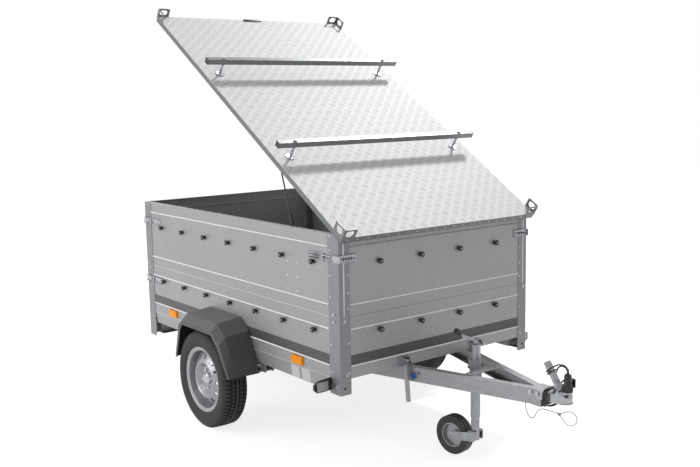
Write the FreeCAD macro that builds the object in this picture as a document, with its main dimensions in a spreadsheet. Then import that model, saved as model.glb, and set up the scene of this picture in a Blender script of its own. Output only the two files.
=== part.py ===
"""Utility trailer: single axle, tipping box with raised sides, aluminium lid and roof bars.

Millimetres and degrees. +X points to the coupling, +Y to the left, +Z up. The origin is on
the ground, midway along and across the trailer as it parks on its jockey wheel.
"""
import FreeCAD
import Part
import Sketcher
import math
import os

from FreeCAD import Placement, Rotation, Vector

os.makedirs("parts", exist_ok=True)
doc = FreeCAD.newDocument("utility_trailer")

# Driving sizes: each is one cell of the sheet
SIZES = {
    # load box
    "box_length": 2041.0,
    "box_width": 1292.0,
    "rim_height": 1176.5,
    "seam_height": 778.0,
    "bend_height": 476.0,
    "skirt_height": 405.0,
    "skirt_lean": 7.0,
    "skirt_lip": 25.0,
    "floor_rise": 2.0,
    "floor_thickness": 12.0,
    "sheet": 1.5,
    "rim_flange": 25.0,
    "seam_flange": 20.0,
    # beads pressed in the sheets, from the bend, the seam and the rim
    "bead_radius": 5.0,
    "bead_proud": 4.0,
    "bead_low_rise": 59.0,
    "bead_mid_drop": 63.0,
    "bead_upper_rise": 56.0,
    "bead_top_drop": 63.5,
    # corner posts
    "post_sheet": 2.0,
    "front_post_side": 84.6,
    "front_post_face": 64.0,
    "front_post_foot": 400.0,
    "rear_post_side": 82.0,
    "rear_post_face": 60.0,
    "rear_post_jamb": 30.0,
    "rear_post_foot": 316.0,
    # tarpaulin knobs
    "knob_radius": 13.0,
    "knob_reach": 22.0,
    "knob_stem": 6.0,
    "knob_rear": 227.0,
    "knob_front": 206.0,
    "knob_corner": 247.0,
    "knob_low_drop": 87.0,
    "knob_high_drop": 148.5,
    # boards at the rear
    "board_thickness": 25.0,
    "board_gap": 5.0,
    "board_foot_rise": 3.0,
    "board_seam_gap": 6.0,
    "board_seam_rise": 2.0,
    "board_bead_end": 64.0,
    "pivot_out": 8.0,
    "pivot_low_drop": 4.0,
    "pivot_up_rise": 12.0,
    "pin_radius": 6.0,
    "lug_sheet": 5.0,
    "lug_half": 12.0,
    "strap_width": 25.0,
    "strap_height": 60.0,
    "strap_sheet": 3.0,
    "running_gap": 0.05,
    # rear lamp beam
    "beam_set_back": 14.0,
    "beam_depth": 46.0,
    "beam_top": 466.0,
    "beam_sheet": 2.0,
    "lamp_width": 230.0,
    "lamp_height": 104.0,
    "lamp_depth": 12.0,
    "lamp_inset": 26.0,
    # side markers and front position lamps
    "marker_length": 104.0,
    "marker_height": 41.0,
    "marker_depth": 12.0,
    "marker_bevel": 6.0,
    "marker_rise": 10.0,
    "marker_front": 305.6,
    "marker_rear": 285.4,
    "front_lamp_reach": 100.0,
    "front_lamp_foot": 416.0,
    "front_lamp_height": 61.0,
    "front_lamp_back": 88.0,
    "front_lamp_depth": 16.0,
    "front_lamp_lens": 8.0,
    "front_lamp_border": 6.0,
    "front_lamp_width": 80.0,
    # toggle latches that hold the corners
    "latch_drop": 116.5,
    "latch_low_drop": 90.0,
    "latch_height": 36.0,
    "latch_sheet": 2.0,
    "latch_depth": 12.0,
    "latch_reach": 237.6,
    "latch_rear_reach": 205.0,
    "latch_lever": 118.0,
    "latch_wire": 3.0,
    "latch_pivot": 5.0,
    "latch_wrap": 52.0,
    "latch_face": 99.0,
    "latch_hook": 6.0,
    "keeper_width": 30.0,
    "keeper_depth": 9.0,
    # chassis
    "rail_height": 58.0,
    "rail_width": 40.0,
    "rail_half_track": 580.0,
    "rail_sheet": 3.0,
    "rail_setback": 45.0,
    "cross_length": 60.0,
    "cross_height": 76.0,
    "cross_gap": 6.0,
    # axle and wheels
    "axle_setback": 1052.6,
    "wheel_radius": 273.5,
    "tyre_width": 155.0,
    "tyre_bulge": 62.0,
    "tread_half": 58.0,
    "wheel_out": 107.0,
    "bead_seat": 165.0,
    "rim_flange_radius": 182.0,
    "rim_flare": 7.0,
    "rim_half_width": 58.0,
    "rim_sheet": 3.5,
    "disc_face": 27.0,
    "disc_barrel": 12.0,
    "disc_dish_radius": 68.0,
    "disc_dome_radius": 98.0,
    "disc_dome_half": 10.0,
    "disc_dome_height": 28.0,
    "disc_dome_fall": 5.0,
    "vent_circle": 124.0,
    "vent_length": 24.0,
    "vent_width": 15.0,
    "hub_radius": 32.0,
    "hub_flange": 62.0,
    "hub_flange_sheet": 10.0,
    "hub_inner": 60.0,
    "hub_cap": 20.0,
    "stub_radius": 15.0,
    "stub_shoulder": 22.0,
    "stub_past": 32.0,
    "axle_tube": 50.0,
    "axle_end": 640.0,
    # leaf springs
    "spring_track": 580.0,
    "spring_width": 45.0,
    "spring_leaf": 10.0,
    "spring_pack": 24.0,
    "spring_reach": 300.0,
    "spring_eye": 16.0,
    "spring_eye_height": 365.0,
    "hanger_sheet": 5.0,
    "hanger_length": 50.0,
    # mudguards
    "guard_gap": 2.5,
    "guard_width": 187.5,
    "guard_sheet": 3.0,
    "guard_lip": 20.0,
    "guard_shoulder": 40.0,
    "guard_shoulder_rise": 38.0,
    "guard_rise": 55.0,
    "guard_top": 575.0,
    "guard_foot": 350.0,
    "guard_rear": 277.0,
    "guard_front": 330.0,
    "guard_top_rear": 185.0,
    "guard_top_front": 151.0,
    "guard_rear_slant": 54.0,
    "guard_rear_drop": 30.0,
    "guard_front_slant": 83.0,
    "guard_front_drop": 60.0,
    # lid
    "lid_angle": 32.7,
    "lid_front": 53.0,
    "lid_top": 12.0,
    "lid_gap": 7.5,
    "lid_plate": 2.0,
    "lid_sheet": 2.0,
    "lid_skirt": 30.0,
    "lid_rear_skirt": 13.0,
    "lid_rib": 15.0,
    "lid_rib_width": 30.0,
    "lid_rib_half": 610.0,
    "hinge_behind": 6.0,
    "hinge_above": 8.0,
    "hinge_radius": 6.0,
    "hinge_pin": 3.0,
    "hinge_half": 30.0,
    "hinge_mid_half": 10.0,
    "hinge_spacing": 460.0,
    "hinge_side_gap": 0.5,
    "bracket_sheet": 3.0,
    "bracket_wing": 75.0,
    "bracket_rise": 50.0,
    "bracket_drop": 12.0,
    "bracket_slot": 20.0,
    # roof bars
    "bar_size": 30.0,
    "bar_half_length": 669.0,
    "bar_height": 69.0,
    "bar_front": 644.0,
    "bar_rear": 1446.0,
    "bar_wall": 2.5,
    "bar_post_radius": 5.0,
    "bar_post_track": 565.0,
    "bar_nut_radius": 11.0,
    "bar_nut_height": 8.0,
    # gas struts
    "strut_track": 590.0,
    "strut_foot_back": 362.6,
    "strut_foot_drop": 271.5,
    "strut_head_back": 652.0,
    "strut_head_drop": 26.0,
    "strut_head_gap": 0.3,
    "strut_lug_half": 20.0,
    "strut_lug_below": 12.0,
    "strut_tube_radius": 9.0,
    "strut_tube_length": 327.0,
    "strut_neck": 4.5,
    "strut_neck_gap": 4.0,
    "strut_bottom": 15.0,
    "strut_rod_radius": 4.0,
    "strut_rod_inside": 55.0,
    "strut_eye_radius": 8.0,
    "strut_eye_width": 10.0,
    "strut_stud": 4.0,
    "strut_plate_length": 110.0,
    "strut_plate_height": 165.0,
    "strut_plate_sheet": 3.0,
    # drawbar
    "nose_reach": 848.4,
    "drawbar_top": 472.0,
    "drawbar_height": 74.0,
    "drawbar_width": 40.0,
    "drawbar_sheet": 3.0,
    "drawbar_pivot_back": 722.6,
    "drawbar_pivot_track": 430.0,
    "drawbar_bend_back": 211.0,
    "drawbar_end_back": 141.0,
    "drawbar_nose_gap": 3.0,
    "tip_pin_radius": 8.0,
    "tip_lug_sheet": 6.0,
    "tip_lug_half": 18.0,
    "tip_side_gap": 14.0,
    # tipping locks
    "lock_side_gap": 25.4,
    "lock_lever_width": 20.0,
    "lock_lever_sheet": 14.0,
    "lock_pivot_ahead": 26.0,
    "lock_pivot_height": 506.0,
    "lock_pivot_radius": 17.0,
    "lock_base_sheet": 5.0,
    "lock_base_width": 74.0,
    "lock_base_height": 40.0,
    "lock_bend_height": 408.0,
    "lock_foot_height": 297.0,
    "lock_foot_ahead": 10.0,
    "lock_pin_ahead": 57.4,
    "lock_pin_height": 430.0,
    "lock_pin_radius": 6.0,
    "lock_pin_head": 8.0,
    # brace and clamp between the beams
    "brace_front": 88.0,
    "brace_shoulder": 41.0,
    "brace_back": 34.0,
    "brace_seat": 12.0,
    "clamp_wall": 5.0,
    "clamp_rise": 40.0,
    "clamp_drop": 60.0,
    "clamp_ear": 16.0,
    # coupling for a 50 mm ball
    "ball_radius": 25.0,
    "ball_clearance": 0.3,
    "ball_back": 40.0,
    "ball_height": 436.0,
    "socket_wall": 6.0,
    "coupling_sheet": 4.0,
    "coupling_height": 40.0,
    "coupling_side_gap": 0.2,
    "coupling_nose_half": 36.0,
    "coupling_nose_drop": 20.0,
    "coupling_nose_slope": 16.0,
    "coupling_lip": 4.0,
    "coupling_lip_sheet": 3.0,
    "coupling_lip_tail": 40.0,
    "handle_ahead": 65.0,
    "handle_width": 30.0,
    "handle_length": 118.0,
    "handle_past": 12.0,
    "handle_depth": 18.0,
    "handle_sheet": 3.0,
    "handle_angle": 55.0,
    "handle_rise": 30.0,
    "handle_side_gap": 0.3,
    "handle_ear": 10.0,
    "handle_pin": 4.0,
    # electrical lead with its plug, and safety cable
    "lead_diameter": 7.0,
    "plug_back": 23.0,
    "plug_rise": 12.5,
    "plug_radius": 24.0,
    "plug_skirt": 32.0,
    "plug_waist": 18.5,
    "plug_shoulder": 52.0,
    "plug_neck": 16.0,
    "plug_gland": 79.0,
    "plug_gland_radius": 6.0,
    "plug_height": 85.0,
    "plug_cap_reach": 35.0,
    "plug_cap_half": 12.0,
    "plug_cap_low": 18.0,
    "plug_cap_high": 58.0,
    "plug_cap_angle": 78.0,
    "cable_diameter": 4.0,
    "ferrule_length": 17.0,
    "ferrule_width": 7.0,
    "ferrule_height": 12.0,
    "ferrule_angle": 19.4,
    # jockey wheel
    "jockey_back": 597.0,
    "jockey_tube_radius": 24.0,
    "jockey_tube_wall": 3.0,
    "jockey_tube_foot": 223.0,
    "jockey_tube_top": 594.0,
    "jockey_collar": 5.0,
    "jockey_collar_height": 6.0,
    "jockey_cap_radius": 13.0,
    "jockey_cap_height": 27.0,
    "jockey_inner_wall": 3.0,
    "jockey_inner_foot": 152.0,
    "jockey_inner_top": 430.0,
    "jockey_stem": 10.0,
    "jockey_stem_depth": 45.0,
    "jockey_foot_wall": 8.0,
    "jockey_trail": 131.0,
    "jockey_yaw": 7.3,
    "jockey_radius": 100.0,
    "jockey_width": 50.0,
    "jockey_rim": 62.0,
    "jockey_axle": 6.0,
    "jockey_hub": 14.0,
    "fork_half": 35.0,
    "fork_sheet": 4.0,
    "fork_gap": 0.5,
    "fork_head": 48.0,
    "fork_arm": 21.0,
    "crank_reach": 98.0,
    "crank_rise": 40.0,
    "crank_width": 16.0,
    "crank_sheet": 8.0,
    "crank_knob": 17.0,
    "crank_knob_length": 55.0,
    "crank_tilt": 41.0,
}

sheet = doc.addObject("Spreadsheet::Sheet", "Sizes")
for row, (name, value) in enumerate(SIZES.items(), start=1):
    sheet.set(f"A{row}", name)
    sheet.set(f"B{row}", str(value))
    sheet.setAlias(f"B{row}", name)
doc.recompute()


class Size:
    """A length or angle as a number, for first placing, and as the expression it is bound to."""

    def __init__(self, value, text):
        self.value = float(value)
        self.text = text

    def __add__(self, other):
        other = as_size(other)
        return Size(self.value + other.value, f"({self.text} + {other.text})")

    def __radd__(self, other):
        return as_size(other) + self

    def __sub__(self, other):
        other = as_size(other)
        return Size(self.value - other.value, f"({self.text} - {other.text})")

    def __rsub__(self, other):
        return as_size(other) - self

    def __mul__(self, other):
        other = as_size(other)
        return Size(self.value * other.value, f"({self.text} * {other.text})")

    def __rmul__(self, other):
        return as_size(other) * self

    def __truediv__(self, other):
        other = as_size(other)
        return Size(self.value / other.value, f"({self.text} / {other.text})")

    def __neg__(self):
        return Size(-self.value, f"(0 - {self.text})")


def as_size(number):
    return number if isinstance(number, Size) else Size(number, repr(float(number)))


def cell(name):
    return Size(SIZES[name], f"Sizes.{name}")


def sine(angle):
    return Size(math.sin(math.radians(angle.value)), f"sin({angle.text})")


def cosine(angle):
    return Size(math.cos(math.radians(angle.value)), f"cos({angle.text})")


def root_of_squares(a, b):
    return Size(math.hypot(a.value, b.value), f"sqrt({a.text} ^ 2 + {b.text} ^ 2)")


def heading(rise, run):
    """The angle of a line in degrees, from its rise and run."""
    value = math.degrees(math.atan2(rise.value, run.value))
    return Size(value, f"(atan2({rise.text}; {run.text}) / 1deg)")


def bind(thing, prop, size):
    size = as_size(size)
    thing.setExpression(prop, size.text)


def place(thing, x=0.0, y=0.0, z=0.0, axis=None, angle=0.0):
    """Puts a piece at a point and turns it about an axis through that point."""
    angle = as_size(angle)
    turn = Rotation(Vector(*axis), angle.value) if axis else thing.Placement.Rotation
    thing.Placement = Placement(Vector(as_size(x).value, as_size(y).value, as_size(z).value), turn)
    bind(thing, "Placement.Base.x", x)
    bind(thing, "Placement.Base.y", y)
    bind(thing, "Placement.Base.z", z)
    if axis and len(angle.text) > 8 and "Sizes" in angle.text:
        bind(thing, "Placement.Rotation.Angle", angle)
    return thing


def block(name, x, y, z):
    """A box from its low and high sides along each axis."""
    thing = doc.addObject("Part::Box", name)
    bind(thing, "Length", as_size(x[1]) - x[0])
    bind(thing, "Width", as_size(y[1]) - y[0])
    bind(thing, "Height", as_size(z[1]) - z[0])
    return place(thing, x[0], y[0], z[0])


TURNS = {"X": ((0, 1, 0), 90.0), "Y": ((1, 0, 0), -90.0), "Z": ((0, 0, 1), 0.0)}


def bar(name, along, start, length, radius):
    """A round bar along X, Y or Z from its start point."""
    thing = doc.addObject("Part::Cylinder", name)
    bind(thing, "Radius", radius)
    bind(thing, "Height", length)
    axis, angle = TURNS[along]
    return place(thing, start[0], start[1], start[2], axis, angle)


def ball(name, centre, radius):
    thing = doc.addObject("Part::Sphere", name)
    bind(thing, "Radius", radius)
    return place(thing, *centre)


def cut(name, base, *tools):
    thing = doc.addObject("Part::Cut", name)
    thing.Base = base
    thing.Tool = tools[0] if len(tools) == 1 else fuse(name + "_tools", *tools)
    return thing


def fuse(name, *shapes):
    thing = doc.addObject("Part::MultiFuse", name)
    thing.Shapes = list(shapes)
    return thing


def common(name, *shapes):
    thing = doc.addObject("Part::MultiCommon", name)
    thing.Shapes = list(shapes)
    return thing


def gather(name, *shapes):
    """Like pieces that don't touch, as one compound."""
    thing = doc.addObject("Part::Compound", name)
    thing.Links = list(shapes)
    return thing


def mirror(name, source, normal=(0, 1, 0), base=(0, 0, 0)):
    thing = doc.addObject("Part::Mirroring", name)
    thing.Source = source
    thing.Normal = Vector(*normal)
    for axis, value in zip("xyz", base):
        bind(thing, f"Base.{axis}", value)
    return thing


def draw(body, plane, points):
    """A closed sketch on one of the body's planes; a point with four numbers ends an arc."""
    sketch = body.newObject("Sketcher::SketchObject", body.Name + "_sketch")
    origin_plane = [f for f in body.Origin.OriginFeatures if f.Role == plane][0]
    sketch.AttachmentSupport = [(origin_plane, "")]
    sketch.MapMode = "FlatFace"
    ends = [(as_size(p[-2]), as_size(p[-1])) for p in points]
    count = len(points)
    for i in range(count):
        here = Vector(ends[i][0].value, ends[i][1].value, 0)
        after = (i + 1) % count
        there = Vector(ends[after][0].value, ends[after][1].value, 0)
        if len(points[after]) == 4:
            middle = Vector(as_size(points[after][0]).value, as_size(points[after][1]).value, 0)
            sketch.addGeometry(Part.Arc(here, middle, there), False)
        else:
            sketch.addGeometry(Part.LineSegment(here, there), False)
    firsts = []
    lasts = []
    for i in range(count):
        arc = len(points[(i + 1) % count]) == 4
        if arc:
            start = sketch.getPoint(i, 1)
            reverse = start.distanceToPoint(Vector(ends[i][0].value, ends[i][1].value, 0)) > 1e-4
            firsts.append(2 if reverse else 1)
            lasts.append(1 if reverse else 2)
        else:
            firsts.append(1)
            lasts.append(2)
    for i in range(count):
        after = (i + 1) % count
        sketch.addConstraint(Sketcher.Constraint("Coincident", i, lasts[i], after, firsts[after]))
    for i in range(count):
        for kind, size in (("DistanceX", ends[i][0]), ("DistanceY", ends[i][1])):
            number = sketch.addConstraint(Sketcher.Constraint(kind, -1, 1, i, firsts[i], size.value))
            sketch.setExpression(f"Constraints[{number}]", size.text)
        arc_point = points[(i + 1) % count]
        if len(arc_point) == 4:
            mid_x, mid_y = as_size(arc_point[0]), as_size(arc_point[1])
            mark = sketch.addGeometry(Part.Point(Vector(mid_x.value, mid_y.value, 0)), True)
            sketch.addConstraint(Sketcher.Constraint("PointOnObject", mark, 1, i))
            for kind, size in (("DistanceX", mid_x), ("DistanceY", mid_y)):
                number = sketch.addConstraint(Sketcher.Constraint(kind, -1, 1, mark, 1, size.value))
                sketch.setExpression(f"Constraints[{number}]", size.text)
    return sketch


def prism(name, plane, points, start, length):
    """A body with one outline padded square to its plane, from start towards the high side."""
    body = doc.addObject("PartDesign::Body", name)
    sketch = draw(body, plane, points)
    pad = body.newObject("PartDesign::Pad", name + "_pad")
    pad.Profile = sketch
    bind(pad, "Length", length)
    start = as_size(start)
    if plane == "XZ_Plane":
        return place(body, y=start + length)
    if plane == "YZ_Plane":
        return place(body, x=start)
    return place(body, z=start)


def turned(name, points):
    """A body of revolution about Z, from (radius, height) points."""
    body = doc.addObject("PartDesign::Body", name)
    sketch = draw(body, "XZ_Plane", points)
    spin = body.newObject("PartDesign::Revolution", name + "_spin")
    spin.Profile = sketch
    spin.ReferenceAxis = (sketch, ["V_Axis"])
    spin.Angle = 360.0
    return body


NODES = []


def node(thing, label):
    """Marks a finished sub-part and gives it the name of its file."""
    thing.Label = label
    NODES.append(thing)
    return thing


def node_pair(thing, stem):
    """A left sub-part and its mirror image on the right."""
    node(thing, stem + "_left")
    return node(mirror(stem + "_mirrored", thing), stem + "_right")


# Places along the trailer that many pieces share
half_width = cell("box_width") / 2
front_x = (cell("box_length") + cell("knob_reach") - cell("nose_reach")) / 2
rear_x = front_x - cell("box_length")
axle_x = front_x - cell("axle_setback")
nose_x = front_x + cell("nose_reach")
jockey_x = nose_x - cell("jockey_back")
skin = half_width - cell("post_sheet")
skin_inside = skin - cell("sheet")
front_skin = front_x - cell("post_sheet")
front_inside = front_skin - cell("sheet")
rear_skin = rear_x + cell("post_sheet")
floor_low = cell("bend_height") + cell("floor_rise")
floor_top = floor_low + cell("floor_thickness")
board_half = half_width - cell("rear_post_face") - cell("board_gap")
bead_low = cell("bend_height") + cell("bead_low_rise")
bead_mid = cell("seam_height") - cell("bead_mid_drop")
bead_upper = cell("seam_height") + cell("bead_upper_rise")
bead_top = cell("rim_height") - cell("bead_top_drop")
knob_low = cell("seam_height") - cell("knob_low_drop")
knob_high = cell("rim_height") - cell("knob_high_drop")
pivot_low = cell("bend_height") - cell("pivot_low_drop")
pivot_up = cell("seam_height") + cell("pivot_up_rise")
latch_high = cell("rim_height") - cell("latch_drop")
latch_low = cell("seam_height") - cell("latch_low_drop")
guard_inner = half_width + cell("guard_gap")
guard_outer = guard_inner + cell("guard_width")
wheel_track = half_width + cell("wheel_out")
spring_front = axle_x + cell("spring_reach")
spring_rear = axle_x - cell("spring_reach")
rail_low = floor_low - cell("rail_height")
tip_x = front_x - cell("drawbar_pivot_back")
tip_z = cell("drawbar_top") - cell("drawbar_height") / 2
beam_bend_x = nose_x - cell("drawbar_bend_back")
beam_end_x = nose_x - cell("drawbar_end_back")
beam_inner_nose = cell("drawbar_nose_gap")
coupling_top = cell("drawbar_top") + cell("coupling_sheet")
beam_inner_tail = cell("drawbar_pivot_track") - cell("drawbar_width") / 2
beam_slope = (beam_inner_tail - beam_inner_nose) / (beam_bend_x - tip_x)


def beads(name, along, start, length, skin_at, outward, heights):
    """Round beads along a sheet: the outer bars and the smaller ones that hollow them."""
    outer = []
    inner = []
    for i, height in enumerate(heights):
        centre = skin_at - outward * (cell("bead_radius") - cell("bead_proud"))
        place_at = (start, centre, height) if along == "X" else (centre, start, height)
        outer.append(bar(f"{name}_bead_{i}", along, place_at, length, cell("bead_radius")))
        hollow = cell("bead_radius") - cell("sheet")
        inner.append(bar(f"{name}_hollow_{i}", along, place_at, length, hollow))
    return outer, inner


def wall(name, along, span, skin_at, outward, low, high, bead_span, heights, flanges):
    """A pressed sheet wall with its beads and the flanges that stiffen its edges."""
    inside = skin_at - outward * cell("sheet")
    across = (inside, skin_at) if outward > 0 else (skin_at, inside)
    flat = (span, across, (low, high)) if along == "X" else (across, span, (low, high))
    parts = [block(name + "_sheet", *flat)]
    outer, inner = beads(name, along, bead_span[0], bead_span[1] - bead_span[0], skin_at, outward, heights)
    parts += outer
    for i, (height, depth) in enumerate(flanges):
        edge = skin_at - outward * depth
        reach = (edge, skin_at) if outward > 0 else (skin_at, edge)
        level = (height, height + cell("sheet"))
        lip = (span, reach, level) if along == "X" else (reach, span, level)
        parts.append(block(f"{name}_flange_{i}", *lip))
    return cut(name, fuse(name + "_pressed", *parts), *inner)


# Lower and upper side walls, with the skirt that hides the chassis rails
def side_walls():
    span = (rear_skin, front_inside)
    bead_span = (rear_x + cell("rear_post_side"), front_x - cell("front_post_side"))
    lower = wall("side_lower", "X", span, skin, 1, cell("bend_height"), cell("seam_height"), bead_span,
                 [bead_low, bead_mid],
                 [(cell("seam_height") - cell("sheet"), cell("seam_flange"))])
    foot = skin - cell("skirt_lean")
    skirt = prism("side_skirt", "YZ_Plane", [
        (skin_inside, cell("bend_height")),
        (foot - cell("sheet"), cell("skirt_height") + cell("sheet")),
        (foot - cell("skirt_lip"), cell("skirt_height") + cell("sheet")),
        (foot - cell("skirt_lip"), cell("skirt_height")),
        (foot, cell("skirt_height")),
        (skin, cell("bend_height")),
    ], span[0], span[1] - span[0])
    node_pair(fuse("side_lower_wall", lower, skirt), "side_lower")
    upper = wall("side_upper", "X", span, skin, 1, cell("seam_height"), cell("rim_height"), bead_span,
                 [bead_upper, bead_top],
                 [(cell("rim_height") - cell("sheet"), cell("rim_flange")),
                  (cell("seam_height"), cell("seam_flange"))])
    node_pair(upper, "side_upper")


# Front walls, between the side sheets and behind the front posts
def front_walls():
    span = (-skin, skin)
    bead_end = half_width - cell("front_post_face")
    bead_span = (-bead_end, bead_end)
    inner_edge = skin - cell("rim_flange")
    lower = wall("front_lower", "Y", span, front_skin, 1, cell("bend_height"), cell("seam_height"),
                 bead_span, [bead_low, bead_mid], [])
    node(lower, "front_lower")
    upper = wall("front_upper_sheet", "Y", span, front_skin, 1, cell("seam_height"), cell("rim_height"),
                 bead_span, [bead_upper, bead_top], [])
    rim = block("front_rim", (front_skin - cell("rim_flange"), front_skin), (-inner_edge, inner_edge),
                (cell("rim_height") - cell("sheet"), cell("rim_height")))
    node(fuse("front_upper_wall", upper, rim), "front_upper")


# Corner posts: angles at the front, hat sections with a door jamb and hinge lugs at the rear
def posts():
    thick = cell("post_sheet")
    side = front_x - cell("front_post_side")
    face = half_width - cell("front_post_face")
    front = prism("front_post", "XY_Plane", [
        (side, half_width - thick),
        (front_x - thick, half_width - thick),
        (front_x - thick, face),
        (front_x, face),
        (front_x, half_width),
        (side, half_width),
    ], cell("front_post_foot"), cell("rim_height") - cell("front_post_foot"))
    node_pair(front, "post_front")
    jamb = half_width - cell("rear_post_face")
    jamb_end = rear_x + cell("rear_post_jamb")
    side_end = rear_x + cell("rear_post_side")
    rear = prism("rear_post", "XY_Plane", [
        (jamb_end, jamb),
        (jamb_end, jamb + thick),
        (rear_x + thick, jamb + thick),
        (rear_x + thick, half_width - thick),
        (side_end, half_width - thick),
        (side_end, half_width),
        (rear_x, half_width),
        (rear_x, jamb),
    ], cell("rear_post_foot"), cell("rim_height") - cell("rear_post_foot"))
    lugs = []
    holes = []
    lug_start = jamb + cell("running_gap") + thick
    for stem, height in (("low", pivot_low), ("up", pivot_up)):
        lugs.append(block(f"lug_{stem}", (rear_x - cell("pivot_out") - cell("lug_half"), rear_x),
                          (lug_start, lug_start + cell("lug_sheet")),
                          (height - cell("lug_half"), height + cell("lug_half"))))
        holes.append(bar(f"lug_hole_{stem}", "Y", (rear_x - cell("pivot_out"), lug_start - 1, height),
                         cell("lug_sheet") + 2, cell("pin_radius") + cell("running_gap")))
    node_pair(cut("rear_post_lugs", fuse("rear_post_whole", rear, *lugs), *holes), "post_rear")


# Load floor, a plywood sheet on the chassis
def load_floor():
    node(block("floor", (rear_x + cell("rear_post_jamb") + 1, front_inside), (-skin_inside, skin_inside),
               (floor_low, floor_top)), "floor_panel")


def knob(name, along, point, sign):
    """A tarpaulin knob: a stem and a mushroom head, standing out from a wall."""
    stem = bar(name + "_stem", along, point if sign > 0 else shift(point, along, -cell("knob_reach")),
               cell("knob_reach"), cell("knob_stem"))
    head_length = cell("knob_reach") * 0.45
    head_at = cell("knob_reach") - head_length if sign > 0 else -cell("knob_reach")
    head = bar(name + "_head", along, shift(point, along, head_at), head_length, cell("knob_radius"))
    return fuse(name, stem, head)


def shift(point, along, amount):
    moved = list(point)
    index = "XYZ".index(along)
    moved[index] = point[index] + amount
    return tuple(moved)


# Tarpaulin knobs on the fixed walls: seven along each side and four across the front, in two rows
def knobs():
    group = []
    spacing = (cell("box_length") - cell("knob_rear") - cell("knob_front")) / 6
    across = (cell("box_width") - cell("knob_corner") * 2) / 3
    for level, height in (("low", knob_low), ("high", knob_high)):
        for i in range(7):
            x = front_x - cell("knob_front") - spacing * i
            left = knob(f"knob_{level}_{i}", "Y", (x, skin, height), 1)
            group += [left, mirror(f"knob_{level}_{i}_right", left)]
        for i in range(4):
            group.append(knob(f"knob_front_{level}_{i}", "X", (front_skin, across * (i - 1.5), height), 1))
    node(gather("tarp_knobs", *group), "tarp_knobs")


# Rear boards, pressed pans that turn on pins in the rear posts' lugs, with the latches' keepers
def board(stem, foot, top, pivot, heights, knob_height, keeper_height):
    back = rear_x + cell("board_thickness")
    outer = block(f"{stem}_outer", (rear_x, back), (-board_half, board_half), (foot, top))
    edge = cell("sheet")
    inner = block(f"{stem}_inner", (rear_x + edge, back + 1), (-board_half + edge, board_half - edge),
                  (foot + edge, top - edge))
    bead_end = board_half - cell("board_bead_end")
    ridges, hollows = beads(stem, "Y", -bead_end, bead_end * 2, rear_x, -1, heights)
    pan = cut(stem + "_pan", fuse(stem + "_pressed", cut(stem + "_tray", outer, inner), *ridges), *hollows)
    parts = [pan]
    strap_low = board_half - cell("strap_width")
    axis_x = rear_x - cell("pivot_out")
    pin_length = cell("board_gap") + cell("post_sheet") + cell("lug_sheet") + 2
    strap = block(f"{stem}_strap", (rear_x - cell("strap_sheet"), rear_x), (strap_low, board_half),
                  (pivot, pivot + cell("strap_height")))
    barrel = bar(f"{stem}_barrel", "Y", (axis_x, strap_low, pivot), cell("strap_width"), cell("pivot_out"))
    pin = bar(f"{stem}_pin", "Y", (axis_x, board_half - 1, pivot), pin_length + 1, cell("pin_radius"))
    hinge = fuse(f"{stem}_hinge", strap, barrel, pin)
    parts += [hinge, mirror(f"{stem}_hinge_right", hinge)]
    keeper = prism(f"{stem}_keeper", "XY_Plane", [
        (rear_x - cell("strap_sheet"), board_half - cell("keeper_width")),
        (rear_x, board_half - cell("keeper_width")),
        (rear_x, board_half),
        (rear_x - cell("keeper_depth"), board_half),
        (rear_x - cell("keeper_depth"), board_half - cell("latch_hook")),
        (rear_x - cell("strap_sheet"), board_half - cell("latch_hook")),
    ], keeper_height - cell("latch_height") / 2, cell("latch_height"))
    parts += [keeper, mirror(f"{stem}_keeper_right", keeper)]
    across = (cell("box_width") - cell("knob_corner") * 2) / 3
    for i in range(4):
        parts.append(knob(f"{stem}_knob_{i}", "X", (rear_x, across * (i - 1.5), knob_height), -1))
    return fuse(stem + "_whole", *parts)


def boards():
    low_top = cell("seam_height") + cell("board_seam_rise") - cell("board_seam_gap")
    node(board("board_low", cell("bend_height") + cell("board_foot_rise"), low_top, pivot_low,
               [bead_low, bead_mid], knob_low, latch_low), "tailgate_lower")
    node(board("board_up", cell("seam_height") + cell("board_seam_rise"), cell("rim_height"), pivot_up,
               [bead_upper, bead_top], knob_high, latch_high), "tailgate_upper")


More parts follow.
